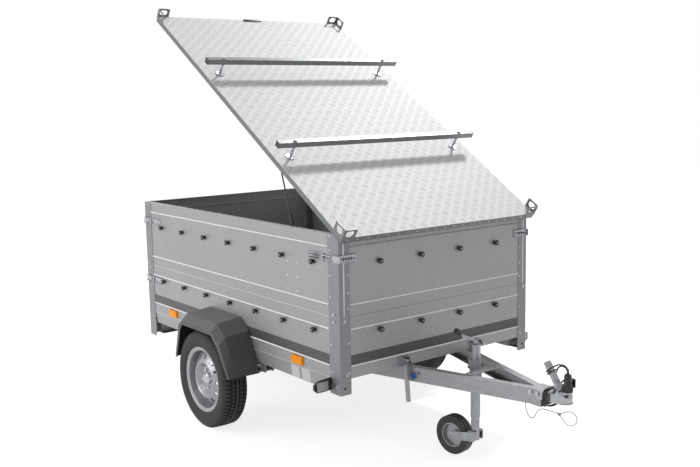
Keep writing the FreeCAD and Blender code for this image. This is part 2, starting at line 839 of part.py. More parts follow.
# Toggle latches that wrap the corners: a channel lever on the side wall, the wire loop that it
# pulls, and the channel that takes the loop round the corner
def latch(name, corner_x, along, height, reach, wrap_end):
    """One left latch; along is the direction from the corner towards the middle of the side wall."""
    half = cell("latch_height") / 2
    thick = cell("latch_sheet")
    depth = cell("latch_depth")

    def span(near, far):
        a = corner_x + along * near
        b = corner_x + along * far
        return (a, b) if along > 0 else (b, a)

    lever_span = span(reach - cell("latch_lever"), reach)
    lever_box = block(name + "_lever_box", lever_span, (skin, skin + depth), (height - half, height + half))
    lever_void = block(name + "_lever_void", (lever_span[0] - 1, lever_span[1] + 1),
                       (skin + thick, skin + depth + 1), (height - half + thick, height + half - thick))
    lever = cut(name + "_lever", lever_box, lever_void)
    pivot_x = corner_x + along * (reach - cell("latch_lever"))
    pivot = bar(name + "_pivot", "Z", (pivot_x, skin + depth / 2, height - half), half * 2,
                cell("latch_pivot"))
    wires = []
    wire_out = half_width + cell("latch_wire") + 1
    wire_span = span(cell("latch_wrap") - 2, reach - cell("latch_lever"))
    for stem, level in (("low", height - half / 2), ("high", height + half / 2)):
        wires.append(bar(f"{name}_wire_{stem}", "X", (wire_span[0], wire_out, level),
                         wire_span[1] - wire_span[0], cell("latch_wire")))
    wrap_side_box = block(name + "_wrap_box", span(-depth, cell("latch_wrap")),
                          (half_width, half_width + depth), (height - half, height + half))
    wrap_void = block(name + "_wrap_void", span(-depth - 1, cell("latch_wrap") + 1),
                      (half_width + thick, half_width + depth + 1),
                      (height - half + thick, height + half - thick))
    parts = [lever, pivot, *wires, cut(name + "_wrap", wrap_side_box, wrap_void)]
    end_box = block(name + "_end_box", span(-depth, 0.0), (wrap_end, half_width + 1),
                    (height - half, height + half))
    end_void = block(name + "_end_void", span(-depth - 1, -thick), (wrap_end - 1, half_width + thick),
                     (height - half + thick, height + half - thick))
    parts.append(cut(name + "_end", end_box, end_void))
    return fuse(name, *parts)


def corner_latches():
    front_end = half_width - cell("latch_face")
    rear_end = half_width - cell("rear_post_face") + cell("post_sheet")
    left = [
        latch("latch_front", front_x, -1, latch_high, cell("latch_reach"), front_end),
        latch("latch_rear_high", rear_x, 1, latch_high, cell("latch_rear_reach"), rear_end),
        latch("latch_rear_low", rear_x, 1, latch_low, cell("latch_rear_reach"), rear_end),
    ]
    group = []
    for thing in left:
        group += [thing, mirror(thing.Name + "_right", thing)]
    node(gather("latch_set", *group), "corner_latches")


# Orange side markers, two on each lower wall below the lowest bead
def side_markers():
    group = []
    length = cell("marker_length")
    bevel = cell("marker_bevel")
    low = cell("bend_height") + cell("marker_rise")
    for stem, x in (("front", front_x - cell("marker_front") - length), ("rear", rear_x + cell("marker_rear"))):
        left = prism(f"marker_{stem}", "XY_Plane", [
            (x, skin),
            (x + length, skin),
            (x + length - bevel, skin + cell("marker_depth")),
            (x + bevel, skin + cell("marker_depth")),
        ], low, cell("marker_height"))
        group += [left, mirror(f"marker_{stem}_right", left)]
    node(gather("marker_set", *group), "side_markers")


# Front position lamps: a rubber arm from the front post with a lens on its front
def front_lamps():
    tall = cell("front_lamp_height")
    low = cell("front_lamp_foot")
    reach = half_width + cell("front_lamp_reach")
    lamp_in = reach - cell("front_lamp_width")
    corner = tall / 4
    start = front_x - cell("front_lamp_back")
    arm = prism("lamp_arm", "YZ_Plane", [
        (half_width, low + 3),
        (lamp_in + corner, low),
        (reach - corner, low),
        (reach, low + corner),
        (reach, low + tall - corner * 1.5),
        (reach - corner * 1.5, low + tall - corner / 2),
        (half_width, low + tall),
    ], start, cell("front_lamp_depth"))
    border = cell("front_lamp_border")
    lens = prism("lamp_lens", "YZ_Plane", [
        (lamp_in + border, low + corner + border),
        (lamp_in + border + corner, low + border),
        (reach - border - corner, low + border),
        (reach - border, low + border + corner),
        (reach - border, low + tall - border - corner * 1.5),
        (reach - border - corner * 1.5, low + tall - border - corner / 2),
        (lamp_in + border + corner, low + tall - border - corner / 2),
        (lamp_in + border, low + tall - border - corner * 1.5),
    ], start + cell("front_lamp_depth"), cell("front_lamp_lens"))
    lamp = fuse("front_lamp", arm, lens)
    node(gather("front_lamp_set", lamp, mirror("front_lamp_right", lamp)), "front_lamps")


# Rear lamp beam and its lamps
def lamp_beam():
    half = half_width - cell("rear_post_face")
    back = rear_x + cell("beam_set_back")
    wall_x = back + cell("beam_sheet")
    beam = prism("lamp_beam", "XZ_Plane", [
        (back, cell("rear_post_foot")),
        (back + cell("beam_depth"), cell("rear_post_foot")),
        (back + cell("beam_depth"), cell("rear_post_foot") + cell("beam_sheet")),
        (wall_x, cell("rear_post_foot") + cell("beam_sheet")),
        (wall_x, cell("beam_top") - cell("beam_sheet")),
        (back + cell("beam_depth"), cell("beam_top") - cell("beam_sheet")),
        (back + cell("beam_depth"), cell("beam_top")),
        (back, cell("beam_top")),
    ], -half, half * 2)
    node(beam, "rear_lamp_beam")
    middle = (cell("rear_post_foot") + cell("beam_top")) / 2
    lamp = block("rear_lamp", (back - cell("lamp_depth"), back),
                 (half - cell("lamp_inset") - cell("lamp_width"), half - cell("lamp_inset")),
                 (middle - cell("lamp_height") / 2, middle + cell("lamp_height") / 2))
    node(gather("rear_lamp_set", lamp, mirror("rear_lamp_right", lamp)), "rear_lamps")


# Chassis: two channel rails under the floor, and the cross members beside the spring hangers
def chassis():
    top = floor_low
    inner = cell("rail_half_track") - cell("rail_width") / 2
    outer = cell("rail_half_track") + cell("rail_width") / 2
    thick = cell("rail_sheet")
    rail_start = rear_x + cell("beam_set_back") + cell("beam_depth")
    rail = prism("chassis_rail", "YZ_Plane", [
        (inner, rail_low),
        (outer, rail_low),
        (outer, rail_low + thick),
        (inner + thick, rail_low + thick),
        (inner + thick, top - thick),
        (outer, top - thick),
        (outer, top),
        (inner, top),
    ], rail_start, front_x - cell("rail_setback") - rail_start)
    node(gather("chassis_rails", rail, mirror("chassis_rail_right", rail)), "chassis_frame")
    beams = []
    beside = cell("hanger_length") / 2 + cell("cross_gap") + cell("cross_length")
    for stem, x in (("front", spring_front - beside), ("rear", spring_rear - beside)):
        cross_low = top - cell("cross_height")
        beams.append(prism(f"cross_{stem}", "XZ_Plane", [
            (x, cross_low),
            (x + cell("cross_length"), cross_low),
            (x + cell("cross_length"), cross_low + thick),
            (x + thick, cross_low + thick),
            (x + thick, top - thick),
            (x + cell("cross_length"), top - thick),
            (x + cell("cross_length"), top),
            (x, top),
        ], -inner, inner * 2))
    node(gather("cross_member_pair", *beams), "cross_members")
    lug_inner = cell("drawbar_pivot_track") + cell("drawbar_width") / 2 + cell("tip_side_gap")
    lug = block("tip_lug", (spring_front - beside + thick, tip_x + cell("tip_lug_half")),
                (lug_inner, lug_inner + cell("tip_lug_sheet")),
                (tip_z - cell("tip_lug_half"), top - thick))
    pin = bar("tip_pin", "Y", (tip_x, cell("drawbar_pivot_track"), tip_z),
              lug_inner + cell("tip_lug_sheet") - cell("drawbar_pivot_track"), cell("tip_pin_radius"))
    seat = fuse("tip_seat", lug, pin)
    node(gather("tip_seats", seat, mirror("tip_seat_right", seat)), "tip_pivots")


# Axle beam with its stub axles
def axle():
    half_tube = cell("axle_tube") / 2
    tube = block("axle_tube_outer", (axle_x - half_tube, axle_x + half_tube),
                 (-cell("axle_end"), cell("axle_end")),
                 (cell("wheel_radius") - half_tube, cell("wheel_radius") + half_tube))
    stub_end = wheel_track + cell("stub_past")
    stub = bar("axle_stub", "Y", (axle_x, -stub_end, cell("wheel_radius")), stub_end * 2,
               cell("stub_radius"))
    shoulder_end = wheel_track - cell("hub_inner") - cell("hinge_side_gap")
    shoulder = bar("axle_shoulder", "Y", (axle_x, -shoulder_end, cell("wheel_radius")), shoulder_end * 2,
                   cell("stub_shoulder"))
    node(fuse("axle", tube, stub, shoulder), "axle_beam")


# Leaf springs between their hangers, seated on the axle beam
def springs():
    seat = cell("wheel_radius") + cell("axle_tube") / 2
    start = cell("spring_track") - cell("spring_width") / 2
    eye_z = cell("spring_eye_height")
    leaf = cell("spring_leaf")
    blade = prism("spring_blade", "XZ_Plane", [
        (spring_rear, eye_z - leaf),
        (axle_x, seat, spring_front, eye_z - leaf),
        (spring_front, eye_z),
        (axle_x, seat + cell("spring_pack"), spring_rear, eye_z),
    ], start, cell("spring_width"))
    spring = fuse("spring_whole", blade,
                  bar("spring_eye_front", "Y", (spring_front, start, eye_z - leaf / 2), cell("spring_width"),
                      cell("spring_eye")),
                  bar("spring_eye_rear", "Y", (spring_rear, start, eye_z - leaf / 2), cell("spring_width"),
                      cell("spring_eye")))
    node(gather("spring_set", spring, mirror("spring_right", spring)), "leaf_springs")
    hangers = []
    thick = cell("hanger_sheet")
    half_hanger = cell("hanger_length") / 2
    for stem, x in (("front", spring_front), ("rear", spring_rear)):
        along = (x - half_hanger, x + half_hanger)
        cheeks = [block(f"hanger_{stem}_{side}", along, (y, y + thick),
                        (eye_z - cell("spring_eye") - leaf / 2, rail_low))
                  for side, y in (("in", start - thick), ("out", start + cell("spring_width")))]
        roof = block(f"hanger_{stem}_roof", along, (start - thick, start + cell("spring_width") + thick),
                     (rail_low - thick, rail_low))
        hangers.append(fuse(f"hanger_{stem}", roof, *cheeks))
    left = gather("hanger_left", *hangers)
    node(gather("hanger_set", left, mirror("hanger_right", left)), "spring_hangers")


# Wheels: tyres, dished steel rims with a ring of oval vents, and the hubs that they bolt to
def wheels():
    half = cell("tyre_width") / 2
    seat = cell("bead_seat")
    radius = cell("wheel_radius")
    thick = cell("rim_sheet")
    edge = cell("rim_half_width")
    tyre = turned("tyre_body", [
        (seat, -edge + thick),
        (seat + cell("tyre_bulge"), -half),
        (radius, -cell("tread_half")),
        (radius, cell("tread_half")),
        (seat + cell("tyre_bulge"), half),
        (seat, edge - thick),
    ])
    flange = cell("rim_flange_radius")
    flare = cell("rim_flare")
    hub_fit = cell("hub_radius") + cell("running_gap")
    face = cell("disc_face")
    dish = cell("disc_dish_radius")
    dome = cell("disc_dome_radius")
    dome_half = cell("disc_dome_half")
    crown = face + cell("disc_dome_height")
    rim = turned("rim_body", [
        (seat - thick, -edge),
        (flange, -edge - flare),
        (flange, -edge - flare + thick),
        (seat, -edge + thick),
        (seat, edge - thick),
        (flange, edge + flare - thick),
        (flange, edge + flare),
        (seat - thick, edge),
        (seat - thick, cell("disc_barrel") + thick),
        (dome + dome_half, crown - cell("disc_dome_fall")),
        (dome, crown),
        (dome - dome_half, crown - cell("disc_dome_fall")),
        (dish, face),
        (hub_fit, face),
        (hub_fit, face - thick),
        (dish + thick, face - thick),
        (dome - dome_half + thick / 2, crown - cell("disc_dome_fall") - thick),
        (dome, crown - thick),
        (dome + dome_half - thick / 2, crown - cell("disc_dome_fall") - thick),
        (seat - thick, cell("disc_barrel")),
    ])
    vents = []
    straight = (cell("vent_length") - cell("vent_width")) / 2
    round_end = cell("vent_width") / 2
    circle = cell("vent_circle")
    for i in range(12):
        vent = prism(f"vent_{i}", "XY_Plane", [
            (circle - straight - round_end, 0, circle - straight, -round_end),
            (circle + straight, -round_end),
            (circle + straight + round_end, 0, circle + straight, round_end),
            (circle - straight, round_end),
        ], 0.0, crown)
        vents.append(place(gather(f"vent_seat_{i}", vent), axis=(0, 0, 1), angle=30.0 * i))
    pierced = gather("rim_seat", cut("rim_pierced", rim, *vents))
    stub = cell("stub_radius") + cell("running_gap")
    back = face - thick
    hub = turned("hub_body", [
        (stub, -cell("hub_inner")),
        (cell("hub_radius"), -cell("hub_inner")),
        (cell("hub_radius"), back - cell("hub_flange_sheet")),
        (cell("hub_flange"), back - cell("hub_flange_sheet")),
        (cell("hub_flange"), back),
        (cell("hub_radius"), back),
        (cell("hub_radius"), face + cell("hub_cap") / 2),
        (cell("hub_radius") - cell("hub_cap") / 2, face + cell("hub_cap")),
        (0, face + cell("hub_cap")),
        (0, cell("stub_past") + 1),
        (stub, cell("stub_past") + 1),
    ])
    for thing, stem in ((tyre, "tyre"), (pierced, "rim"), (hub, "hub")):
        place(thing, axle_x, wheel_track, cell("wheel_radius"), (1, 0, 0), -90)
        node_pair(thing, stem)


# Mudguards: lofted plastic shells with a sloping top and a shoulder along the outer edge
def guard_outline(rise, inset):
    foot = cell("guard_foot")
    top = cell("guard_top") + rise
    return [
        (axle_x - cell("guard_rear") + inset, foot),
        (axle_x - cell("guard_rear") + cell("guard_rear_slant") + inset, top - cell("guard_rear_drop") - inset),
        (axle_x - cell("guard_top_rear") + inset * 0.4, top - inset),
        (axle_x + cell("guard_top_front") - inset * 0.4, top - inset),
        (axle_x + cell("guard_top_front") + cell("guard_front_slant") - inset,
         top - cell("guard_front_drop") - inset),
        (axle_x + cell("guard_front") - inset, foot),
    ]


def guard_loft(name, inset, sections):
    body = doc.addObject("PartDesign::Body", name)
    sketches = []
    for y, rise in sections:
        sketch = draw(body, "XZ_Plane", guard_outline(rise, inset))
        bind(sketch, "AttachmentOffset.Base.z", -y)
        sketches.append(sketch)
    loft = body.newObject("PartDesign::AdditiveLoft", name + "_loft")
    loft.Profile = sketches[0]
    loft.Sections = sketches[1:]
    loft.Ruled = True
    return body


def mudguards():
    rise = cell("guard_rise")
    shoulder_rise = cell("guard_shoulder_rise")
    thick = cell("guard_sheet")
    lip = cell("guard_lip")
    shoulder = guard_outer - cell("guard_shoulder")
    flat = as_size(0)
    shell = guard_loft("guard_shell", flat, [(guard_outer, flat), (shoulder, shoulder_rise),
                                             (guard_inner, rise)])
    hollow = guard_loft("guard_hollow", thick, [(guard_outer - thick, flat),
                                                (shoulder - thick / 2, shoulder_rise),
                                                (guard_inner + thick, rise)])
    mouth = guard_loft("guard_mouth", lip, [(guard_outer + 5, flat), (guard_inner - 5, flat)])
    floor_cut = block("guard_open", (axle_x - cell("guard_rear") * 2, axle_x + cell("guard_front") * 2),
                      (guard_inner + thick, guard_outer - thick),
                      (cell("guard_foot") - 20, cell("guard_foot") + 1))
    node_pair(cut("guard", shell, hollow, mouth, floor_cut), "mudguard")


# The lid, drawn closed about its hinge line and then opened
def on_lid(thing):
    return place(thing, front_x - cell("hinge_behind"), 0.0, cell("rim_height") + cell("hinge_above"),
                 (0, 1, 0), cell("lid_angle"))


lid_nose = cell("lid_front")
lid_tail = cell("lid_front") - (cell("box_length") - cell("hinge_behind") + cell("lid_front")
                                + cell("lid_gap") + cell("lid_sheet"))
lid_half = half_width + cell("lid_gap") + cell("lid_sheet")
lid_under = cell("lid_top") - cell("lid_plate")


def lid():
    plate = block("lid_plate_box", (lid_tail, lid_nose), (-lid_half, lid_half), (lid_under, cell("lid_top")))
    node(on_lid(gather("lid_plate_seat", plate)), "lid_plate")
    thick = cell("lid_sheet")
    low = cell("lid_top") - cell("lid_skirt")
    rear_low = cell("lid_top") - cell("lid_rear_skirt")
    side = block("lid_skirt_side", (lid_tail, lid_nose), (lid_half - thick, lid_half), (low, lid_under))
    node(on_lid(gather("lid_sides", side, mirror("lid_skirt_side_right", side))), "lid_side_skirts")
    within = (-lid_half + thick, lid_half - thick)
    parts = [block("lid_skirt_front", (lid_nose - thick, lid_nose), within, (low, lid_under)),
             block("lid_skirt_rear", (lid_tail, lid_tail + thick), within, (rear_low, lid_under))]
    for stem, back in (("front", cell("bar_front")), ("rear", cell("bar_rear"))):
        x = lid_nose - back
        half = cell("lid_rib_width") / 2
        parts.append(block(f"lid_rib_{stem}", (x - half, x + half),
                           (-cell("lid_rib_half"), cell("lid_rib_half")),
                           (lid_under - cell("lid_rib"), lid_under)))
    for i in (-1, 0, 1):
        y = cell("hinge_spacing") * i
        mid = cell("hinge_mid_half")
        leaf = block(f"lid_leaf_{i + 1}", (-cell("hinge_radius"), cell("hinge_radius")), (y - mid, y + mid),
                     (0, lid_under))
        barrel = bar(f"lid_barrel_{i + 1}", "Y", (0, y - mid, 0), mid * 2, cell("hinge_radius"))
        bore = bar(f"lid_bore_{i + 1}", "Y", (0, y - mid - 1, 0), mid * 2 + 2,
                   cell("hinge_pin") + cell("running_gap"))
        parts.append(cut(f"lid_knuckle_{i + 1}", fuse(f"lid_knuckle_solid_{i + 1}", leaf, barrel), bore))
    x = -cell("strut_head_back")
    lug_start = cell("strut_track") + cell("strut_eye_width") / 2 + cell("strut_head_gap")
    lug = block("strut_head_lug", (x - cell("strut_lug_half"), x + cell("strut_lug_half")),
                (lug_start, lug_start + cell("strut_plate_sheet")),
                (-cell("strut_head_drop") - cell("strut_lug_below"), lid_under))
    parts += [lug, mirror("strut_head_lug_right", lug)]
    node(on_lid(gather("lid_frame_parts", *parts)), "lid_frame")


def lid_brackets():
    group = []
    thick = cell("bracket_sheet")
    low = cell("lid_top") - cell("bracket_drop")
    high = cell("lid_top") + cell("bracket_rise")
    wing = cell("bracket_wing")
    for end, x, out in (("front", lid_nose, 1), ("rear", lid_tail, -1)):
        along = (x - wing, x + thick) if out > 0 else (x - thick, x + wing)
        across = (x, x + thick) if out > 0 else (x - thick, x)
        side_wing = block(f"bracket_{end}_side", along, (lid_half, lid_half + thick), (low, high))
        end_wing = block(f"bracket_{end}_end", across, (lid_half - wing, lid_half + thick), (low, high))
        middle = (cell("lid_top") + high) / 2
        slot_side = bar(f"bracket_{end}_hole_a", "Y", (x - out * wing / 2, lid_half - 1, middle), thick + 2,
                        cell("bracket_slot") / 2)
        slot_end = bar(f"bracket_{end}_hole_b", "X", (across[0] - 1, lid_half - wing / 2, middle), thick + 2,
                       cell("bracket_slot") / 2)
        bracket = cut(f"bracket_{end}", fuse(f"bracket_{end}_solid", side_wing, end_wing), slot_side, slot_end)
        group += [bracket, mirror(f"bracket_{end}_right", bracket)]
    node(on_lid(gather("lid_brackets_parts", *group)), "lid_corner_brackets")


def roof_bars():
    bars = []
    stands = []
    low = cell("lid_top") + cell("bar_height")
    size = cell("bar_size")
    for stem, back in (("front", cell("bar_front")), ("rear", cell("bar_rear"))):
        x = lid_nose - back
        outer = block(f"bar_{stem}_outer", (x - size / 2, x + size / 2),
                      (-cell("bar_half_length"), cell("bar_half_length")), (low, low + size))
        wall_t = cell("bar_wall")
        inner = block(f"bar_{stem}_inner", (x - size / 2 + wall_t, x + size / 2 - wall_t),
                      (-cell("bar_half_length") + wall_t, cell("bar_half_length") - wall_t),
                      (low - 1, low + size - wall_t))
        bars.append(cut(f"bar_{stem}", outer, inner))
        for side, y in (("left", cell("bar_post_track")), ("right", -cell("bar_post_track"))):
            post = bar(f"stand_{stem}_{side}_post", "Z", (x, y, cell("lid_top")),
                       cell("bar_height") + size - wall_t, cell("bar_post_radius"))
            foot = bar(f"stand_{stem}_{side}_foot", "Z", (x, y, cell("lid_top")), cell("bar_nut_height"),
                       cell("bar_nut_radius"))
            nut = bar(f"stand_{stem}_{side}_nut", "Z", (x, y, low - cell("bar_nut_height")),
                      cell("bar_nut_height"), cell("bar_nut_radius"))
            stands.append(fuse(f"stand_{stem}_{side}", post, foot, nut))
    node(on_lid(gather("roof_bar_parts", *bars)), "roof_bars")
    node(on_lid(gather("roof_stand_parts", *stands)), "roof_bar_stands")


# The fixed half of the lid hinge, on the front rim
def lid_hinge():
    parts = []
    hinge_x = front_x - cell("hinge_behind")
    hinge_z = cell("rim_height") + cell("hinge_above")
    radius = cell("hinge_radius")
    gap = cell("hinge_side_gap")
    for i in (-1, 0, 1):
        y = cell("hinge_spacing") * i
        knuckles = []
        for side, low, high in (("a", y - cell("hinge_half"), y - cell("hinge_mid_half") - gap),
                                ("b", y + cell("hinge_mid_half") + gap, y + cell("hinge_half"))):
            leaf = block(f"hinge_leaf_{side}_{i + 1}", (hinge_x - radius, hinge_x), (low, high),
                         (cell("rim_height"), hinge_z))
            barrel = bar(f"hinge_barrel_{side}_{i + 1}", "Y", (hinge_x, low, hinge_z), high - low, radius)
            knuckles += [leaf, barrel]
        pin = bar(f"hinge_pin_{i + 1}", "Y", (hinge_x, y - cell("hinge_half"), hinge_z),
                  cell("hinge_half") * 2, cell("hinge_pin"))
        parts.append(fuse(f"hinge_{i + 1}", pin, *knuckles))
    node(gather("lid_hinges", *parts), "lid_hinge")


# Gas struts: wall brackets, cylinders and rods; each rod's eye stops beside the lid's lug
def struts():
    track = cell("strut_track")
    foot_x = front_x - cell("strut_foot_back")
    foot_z = cell("rim_height") - cell("strut_foot_drop")
    plate_x = (foot_x - cell("strut_plate_length") * 0.7, foot_x + cell("strut_plate_length") * 0.3)
    plate_z = (foot_z - cell("strut_plate_height") * 0.35, foot_z + cell("strut_plate_height") * 0.65)
    plate = block("strut_plate", plate_x, (skin_inside - cell("strut_plate_sheet"), skin_inside), plate_z)
    eye_half = cell("strut_eye_width") / 2
    boss_start = track + eye_half + cell("hinge_side_gap")
    boss = bar("strut_boss", "Y", (foot_x, boss_start, foot_z),
               skin_inside - cell("strut_plate_sheet") - boss_start, cell("strut_eye_radius"))
    stud = bar("strut_stud_pin", "Y", (foot_x, track - eye_half - 2, foot_z),
               boss_start - track + eye_half + 2, cell("strut_stud"))
    bracket = fuse("strut_bracket", plate, boss, stud)
    node(gather("strut_brackets_pair", bracket, mirror("strut_bracket_right", bracket)), "strut_brackets")
    angle = cell("lid_angle")
    head_x = front_x - cell("hinge_behind") - cell("strut_head_back") * cosine(angle) \
        - cell("strut_head_drop") * sine(angle)
    head_z = cell("rim_height") + cell("hinge_above") + cell("strut_head_back") * sine(angle) \
        - cell("strut_head_drop") * cosine(angle)
    reach = root_of_squares(head_x - foot_x, head_z - foot_z)
    lean = heading(head_x - foot_x, head_z - foot_z)
    eye_start = (0, -eye_half, 0)
    tube_start = cell("strut_eye_radius") + cell("strut_neck_gap")
    tube = bar("strut_tube", "Z", (0, 0, tube_start), cell("strut_tube_length"), cell("strut_tube_radius"))
    neck = bar("strut_neck", "Z", (0, 0, 0), tube_start + 1, cell("strut_neck"))
    eye = bar("strut_tube_eye", "Y", eye_start, cell("strut_eye_width"), cell("strut_eye_radius"))
    eye_bore = bar("strut_eye_bore", "Y", (0, -cell("strut_eye_width"), 0), cell("strut_eye_width") * 2,
                   cell("strut_stud") + cell("running_gap"))
    bore = bar("strut_bore", "Z", (0, 0, tube_start + cell("strut_bottom")), cell("strut_tube_length"),
               cell("strut_rod_radius") + cell("running_gap"))
    solid = fuse("strut_cylinder_solid", tube, neck, eye)
    cylinder = gather("strut_cylinder", cut("strut_cylinder_bored", solid, eye_bore, bore))
    place(cylinder, foot_x, track, foot_z, (0, 1, 0), lean)
    node_pair(cylinder, "strut_tube")
    rod_start = tube_start + cell("strut_tube_length") - cell("strut_rod_inside")
    rod = bar("strut_rod_bar", "Z", (0, 0, rod_start), reach - rod_start, cell("strut_rod_radius"))
    head = bar("strut_rod_eye", "Y", (0, -eye_half, reach), cell("strut_eye_width"),
               cell("strut_eye_radius") - 1)
    rod_whole = gather("strut_rod", fuse("strut_rod_solid", rod, head))
    place(rod_whole, foot_x, track, foot_z, (0, 1, 0), lean)
    node_pair(rod_whole, "strut_rod")


# Drawbar: two channel beams in a V, hinged near the axle so that the box tips
def drawbar():
    half_high = cell("drawbar_height") / 2
    low = cell("drawbar_top") - cell("drawbar_height")
    thick = cell("drawbar_sheet")
    width = cell("drawbar_width")
    tail_x = tip_x - half_high
    inner_tail = beam_inner_tail + beam_slope * half_high
    past = cell("tip_lug_half")
    solid = prism("beam_solid", "XY_Plane", [
        (tail_x, inner_tail),
        (beam_bend_x, beam_inner_nose),
        (beam_end_x, beam_inner_nose),
        (beam_end_x, beam_inner_nose + width),
        (beam_bend_x, beam_inner_nose + width),
        (tail_x, inner_tail + width),
    ], low, cell("drawbar_height"))
    web = width - thick
    channel = prism("beam_channel", "XY_Plane", [
        (tail_x - past, inner_tail + beam_slope * past - width),
        (beam_bend_x, beam_inner_nose - width),
        (beam_end_x + past, beam_inner_nose - width),
        (beam_end_x + past, beam_inner_nose + web),
        (beam_bend_x, beam_inner_nose + web),
        (tail_x - past, inner_tail + beam_slope * past + web),
    ], low + thick, cell("drawbar_height") - thick * 2)
    outside = inner_tail + width * 2
    ahead = block("beam_long", (tip_x, beam_end_x + 1), (-1, outside), (low, cell("drawbar_top")))
    round_tail = bar("beam_tail", "Y", (tip_x, -1, tip_z), outside + 1, half_high)
    side = fuse("beam_side", ahead, round_tail)
    bore = bar("beam_bore", "Y", (tip_x, 0, tip_z), outside, cell("tip_pin_radius") + cell("running_gap"))
    pin_x = front_x + cell("lock_pin_ahead")
    pin_web = beam_inner_nose + width + beam_slope * (beam_bend_x - pin_x)
    lock_pin = bar("lock_pin", "Y", (pin_x, pin_web - thick * 2, cell("lock_pin_height")),
                   thick * 2 + cell("lock_pin_head"), cell("lock_pin_radius"))
    beam = fuse("beam_pinned", common("beam_trimmed", cut("beam_c", solid, channel, bore), side), lock_pin)
    node(gather("beams", beam, mirror("beam_right", beam)), "drawbar_beams")


# Cross plate over the beams with the clamp that grips the jockey wheel's tube
def brace():
    plate_top = coupling_top
    front = jockey_x + cell("brace_front")
    shoulder = jockey_x + cell("brace_shoulder")
    back = jockey_x - cell("brace_back")
    tube = cell("jockey_tube_radius")
    ring = tube + cell("clamp_wall")
    seat = cell("brace_seat")
    front_half = beam_inner_nose + beam_slope * (beam_bend_x - front) + seat
    shoulder_half = beam_inner_nose + beam_slope * (beam_bend_x - shoulder) + seat
    waist = ring + seat
    plate = prism("brace_plate", "XY_Plane", [
        (back, -tube),
        (back - 4, 0, back, tube),
        (jockey_x, waist),
        (shoulder - 6, shoulder_half * 0.66, shoulder, shoulder_half),
        (front, front_half),
        (front - 5, 0, front, -front_half),
        (shoulder, -shoulder_half),
        (shoulder - 6, -shoulder_half * 0.66, jockey_x, -waist),
    ], cell("drawbar_top"), cell("coupling_sheet"))
    clamp_low = plate_top - cell("clamp_drop")
    clamp_tall = cell("clamp_drop") + cell("clamp_rise")
    outer = bar("clamp_outer", "Z", (jockey_x, 0, clamp_low), clamp_tall, ring)
    ear = cell("clamp_ear")
    ears = block("clamp_ears", (jockey_x - ring - ear, jockey_x - tube), (-ear / 2, ear / 2),
                 (plate_top, plate_top + cell("clamp_rise")))
    hole = bar("brace_hole", "Z", (jockey_x, 0, clamp_low - 1), clamp_tall + 2, tube)
    node(cut("brace", fuse("brace_solid", plate, outer, ears), hole), "jockey_clamp")


# Tipping locks under the front wall: a base, a pivot barrel and the lever that hooks the drawbar
def tipping_locks():
    pivot_x = front_skin + cell("lock_pivot_ahead")
    beam_outside = beam_inner_nose + cell("drawbar_width") + beam_slope * (beam_bend_x - pivot_x)
    track = beam_outside + cell("lock_side_gap")
    half_base = cell("lock_base_width") / 2
    mid_z = cell("lock_pivot_height")
    base = block("lock_base", (front_skin, front_skin + cell("lock_base_sheet")),
                 (track - half_base, track + half_base),
                 (mid_z - cell("lock_base_height") / 2, mid_z + cell("lock_base_height") / 2))
    start = track - cell("lock_lever_sheet") / 2
    barrel = bar("lock_barrel", "Y", (pivot_x, track - half_base / 2, mid_z), half_base,
                 cell("lock_pivot_radius") / 2)
    cheeks = []
    for stem, y in (("in", track - half_base / 2), ("out", track + half_base / 2 - cell("lock_base_sheet"))):
        cheeks.append(prism(f"lock_cheek_{stem}", "XZ_Plane", [
            (front_skin, mid_z - cell("lock_pivot_radius")),
            (pivot_x, mid_z - cell("lock_pivot_radius")),
            (pivot_x + cell("lock_pivot_radius"), mid_z, pivot_x, mid_z + cell("lock_pivot_radius")),
            (front_skin, mid_z + cell("lock_pivot_radius")),
        ], y, cell("lock_base_sheet")))
    half_lever = cell("lock_lever_width") / 2
    bend_z = cell("lock_bend_height")
    foot_x = pivot_x + cell("lock_foot_ahead")
    foot_z = cell("lock_foot_height")
    lever = prism("lock_lever", "XZ_Plane", [
        (pivot_x - half_lever, mid_z),
        (pivot_x - half_lever, bend_z),
        (pivot_x - half_lever / 2, (bend_z + foot_z) / 2, foot_x - half_lever, foot_z + half_lever),
        (foot_x, foot_z, foot_x + half_lever, foot_z + half_lever),
        (pivot_x + half_lever * 1.6, (bend_z + foot_z) / 2, pivot_x + half_lever, bend_z),
        (pivot_x + half_lever, mid_z),
    ], start, cell("lock_lever_sheet"))
    lock = fuse("tipping_lock", base, barrel, lever, *cheeks)
    node(gather("tipping_lock_pair", lock, mirror("tipping_lock_right", lock)), "tipping_locks")


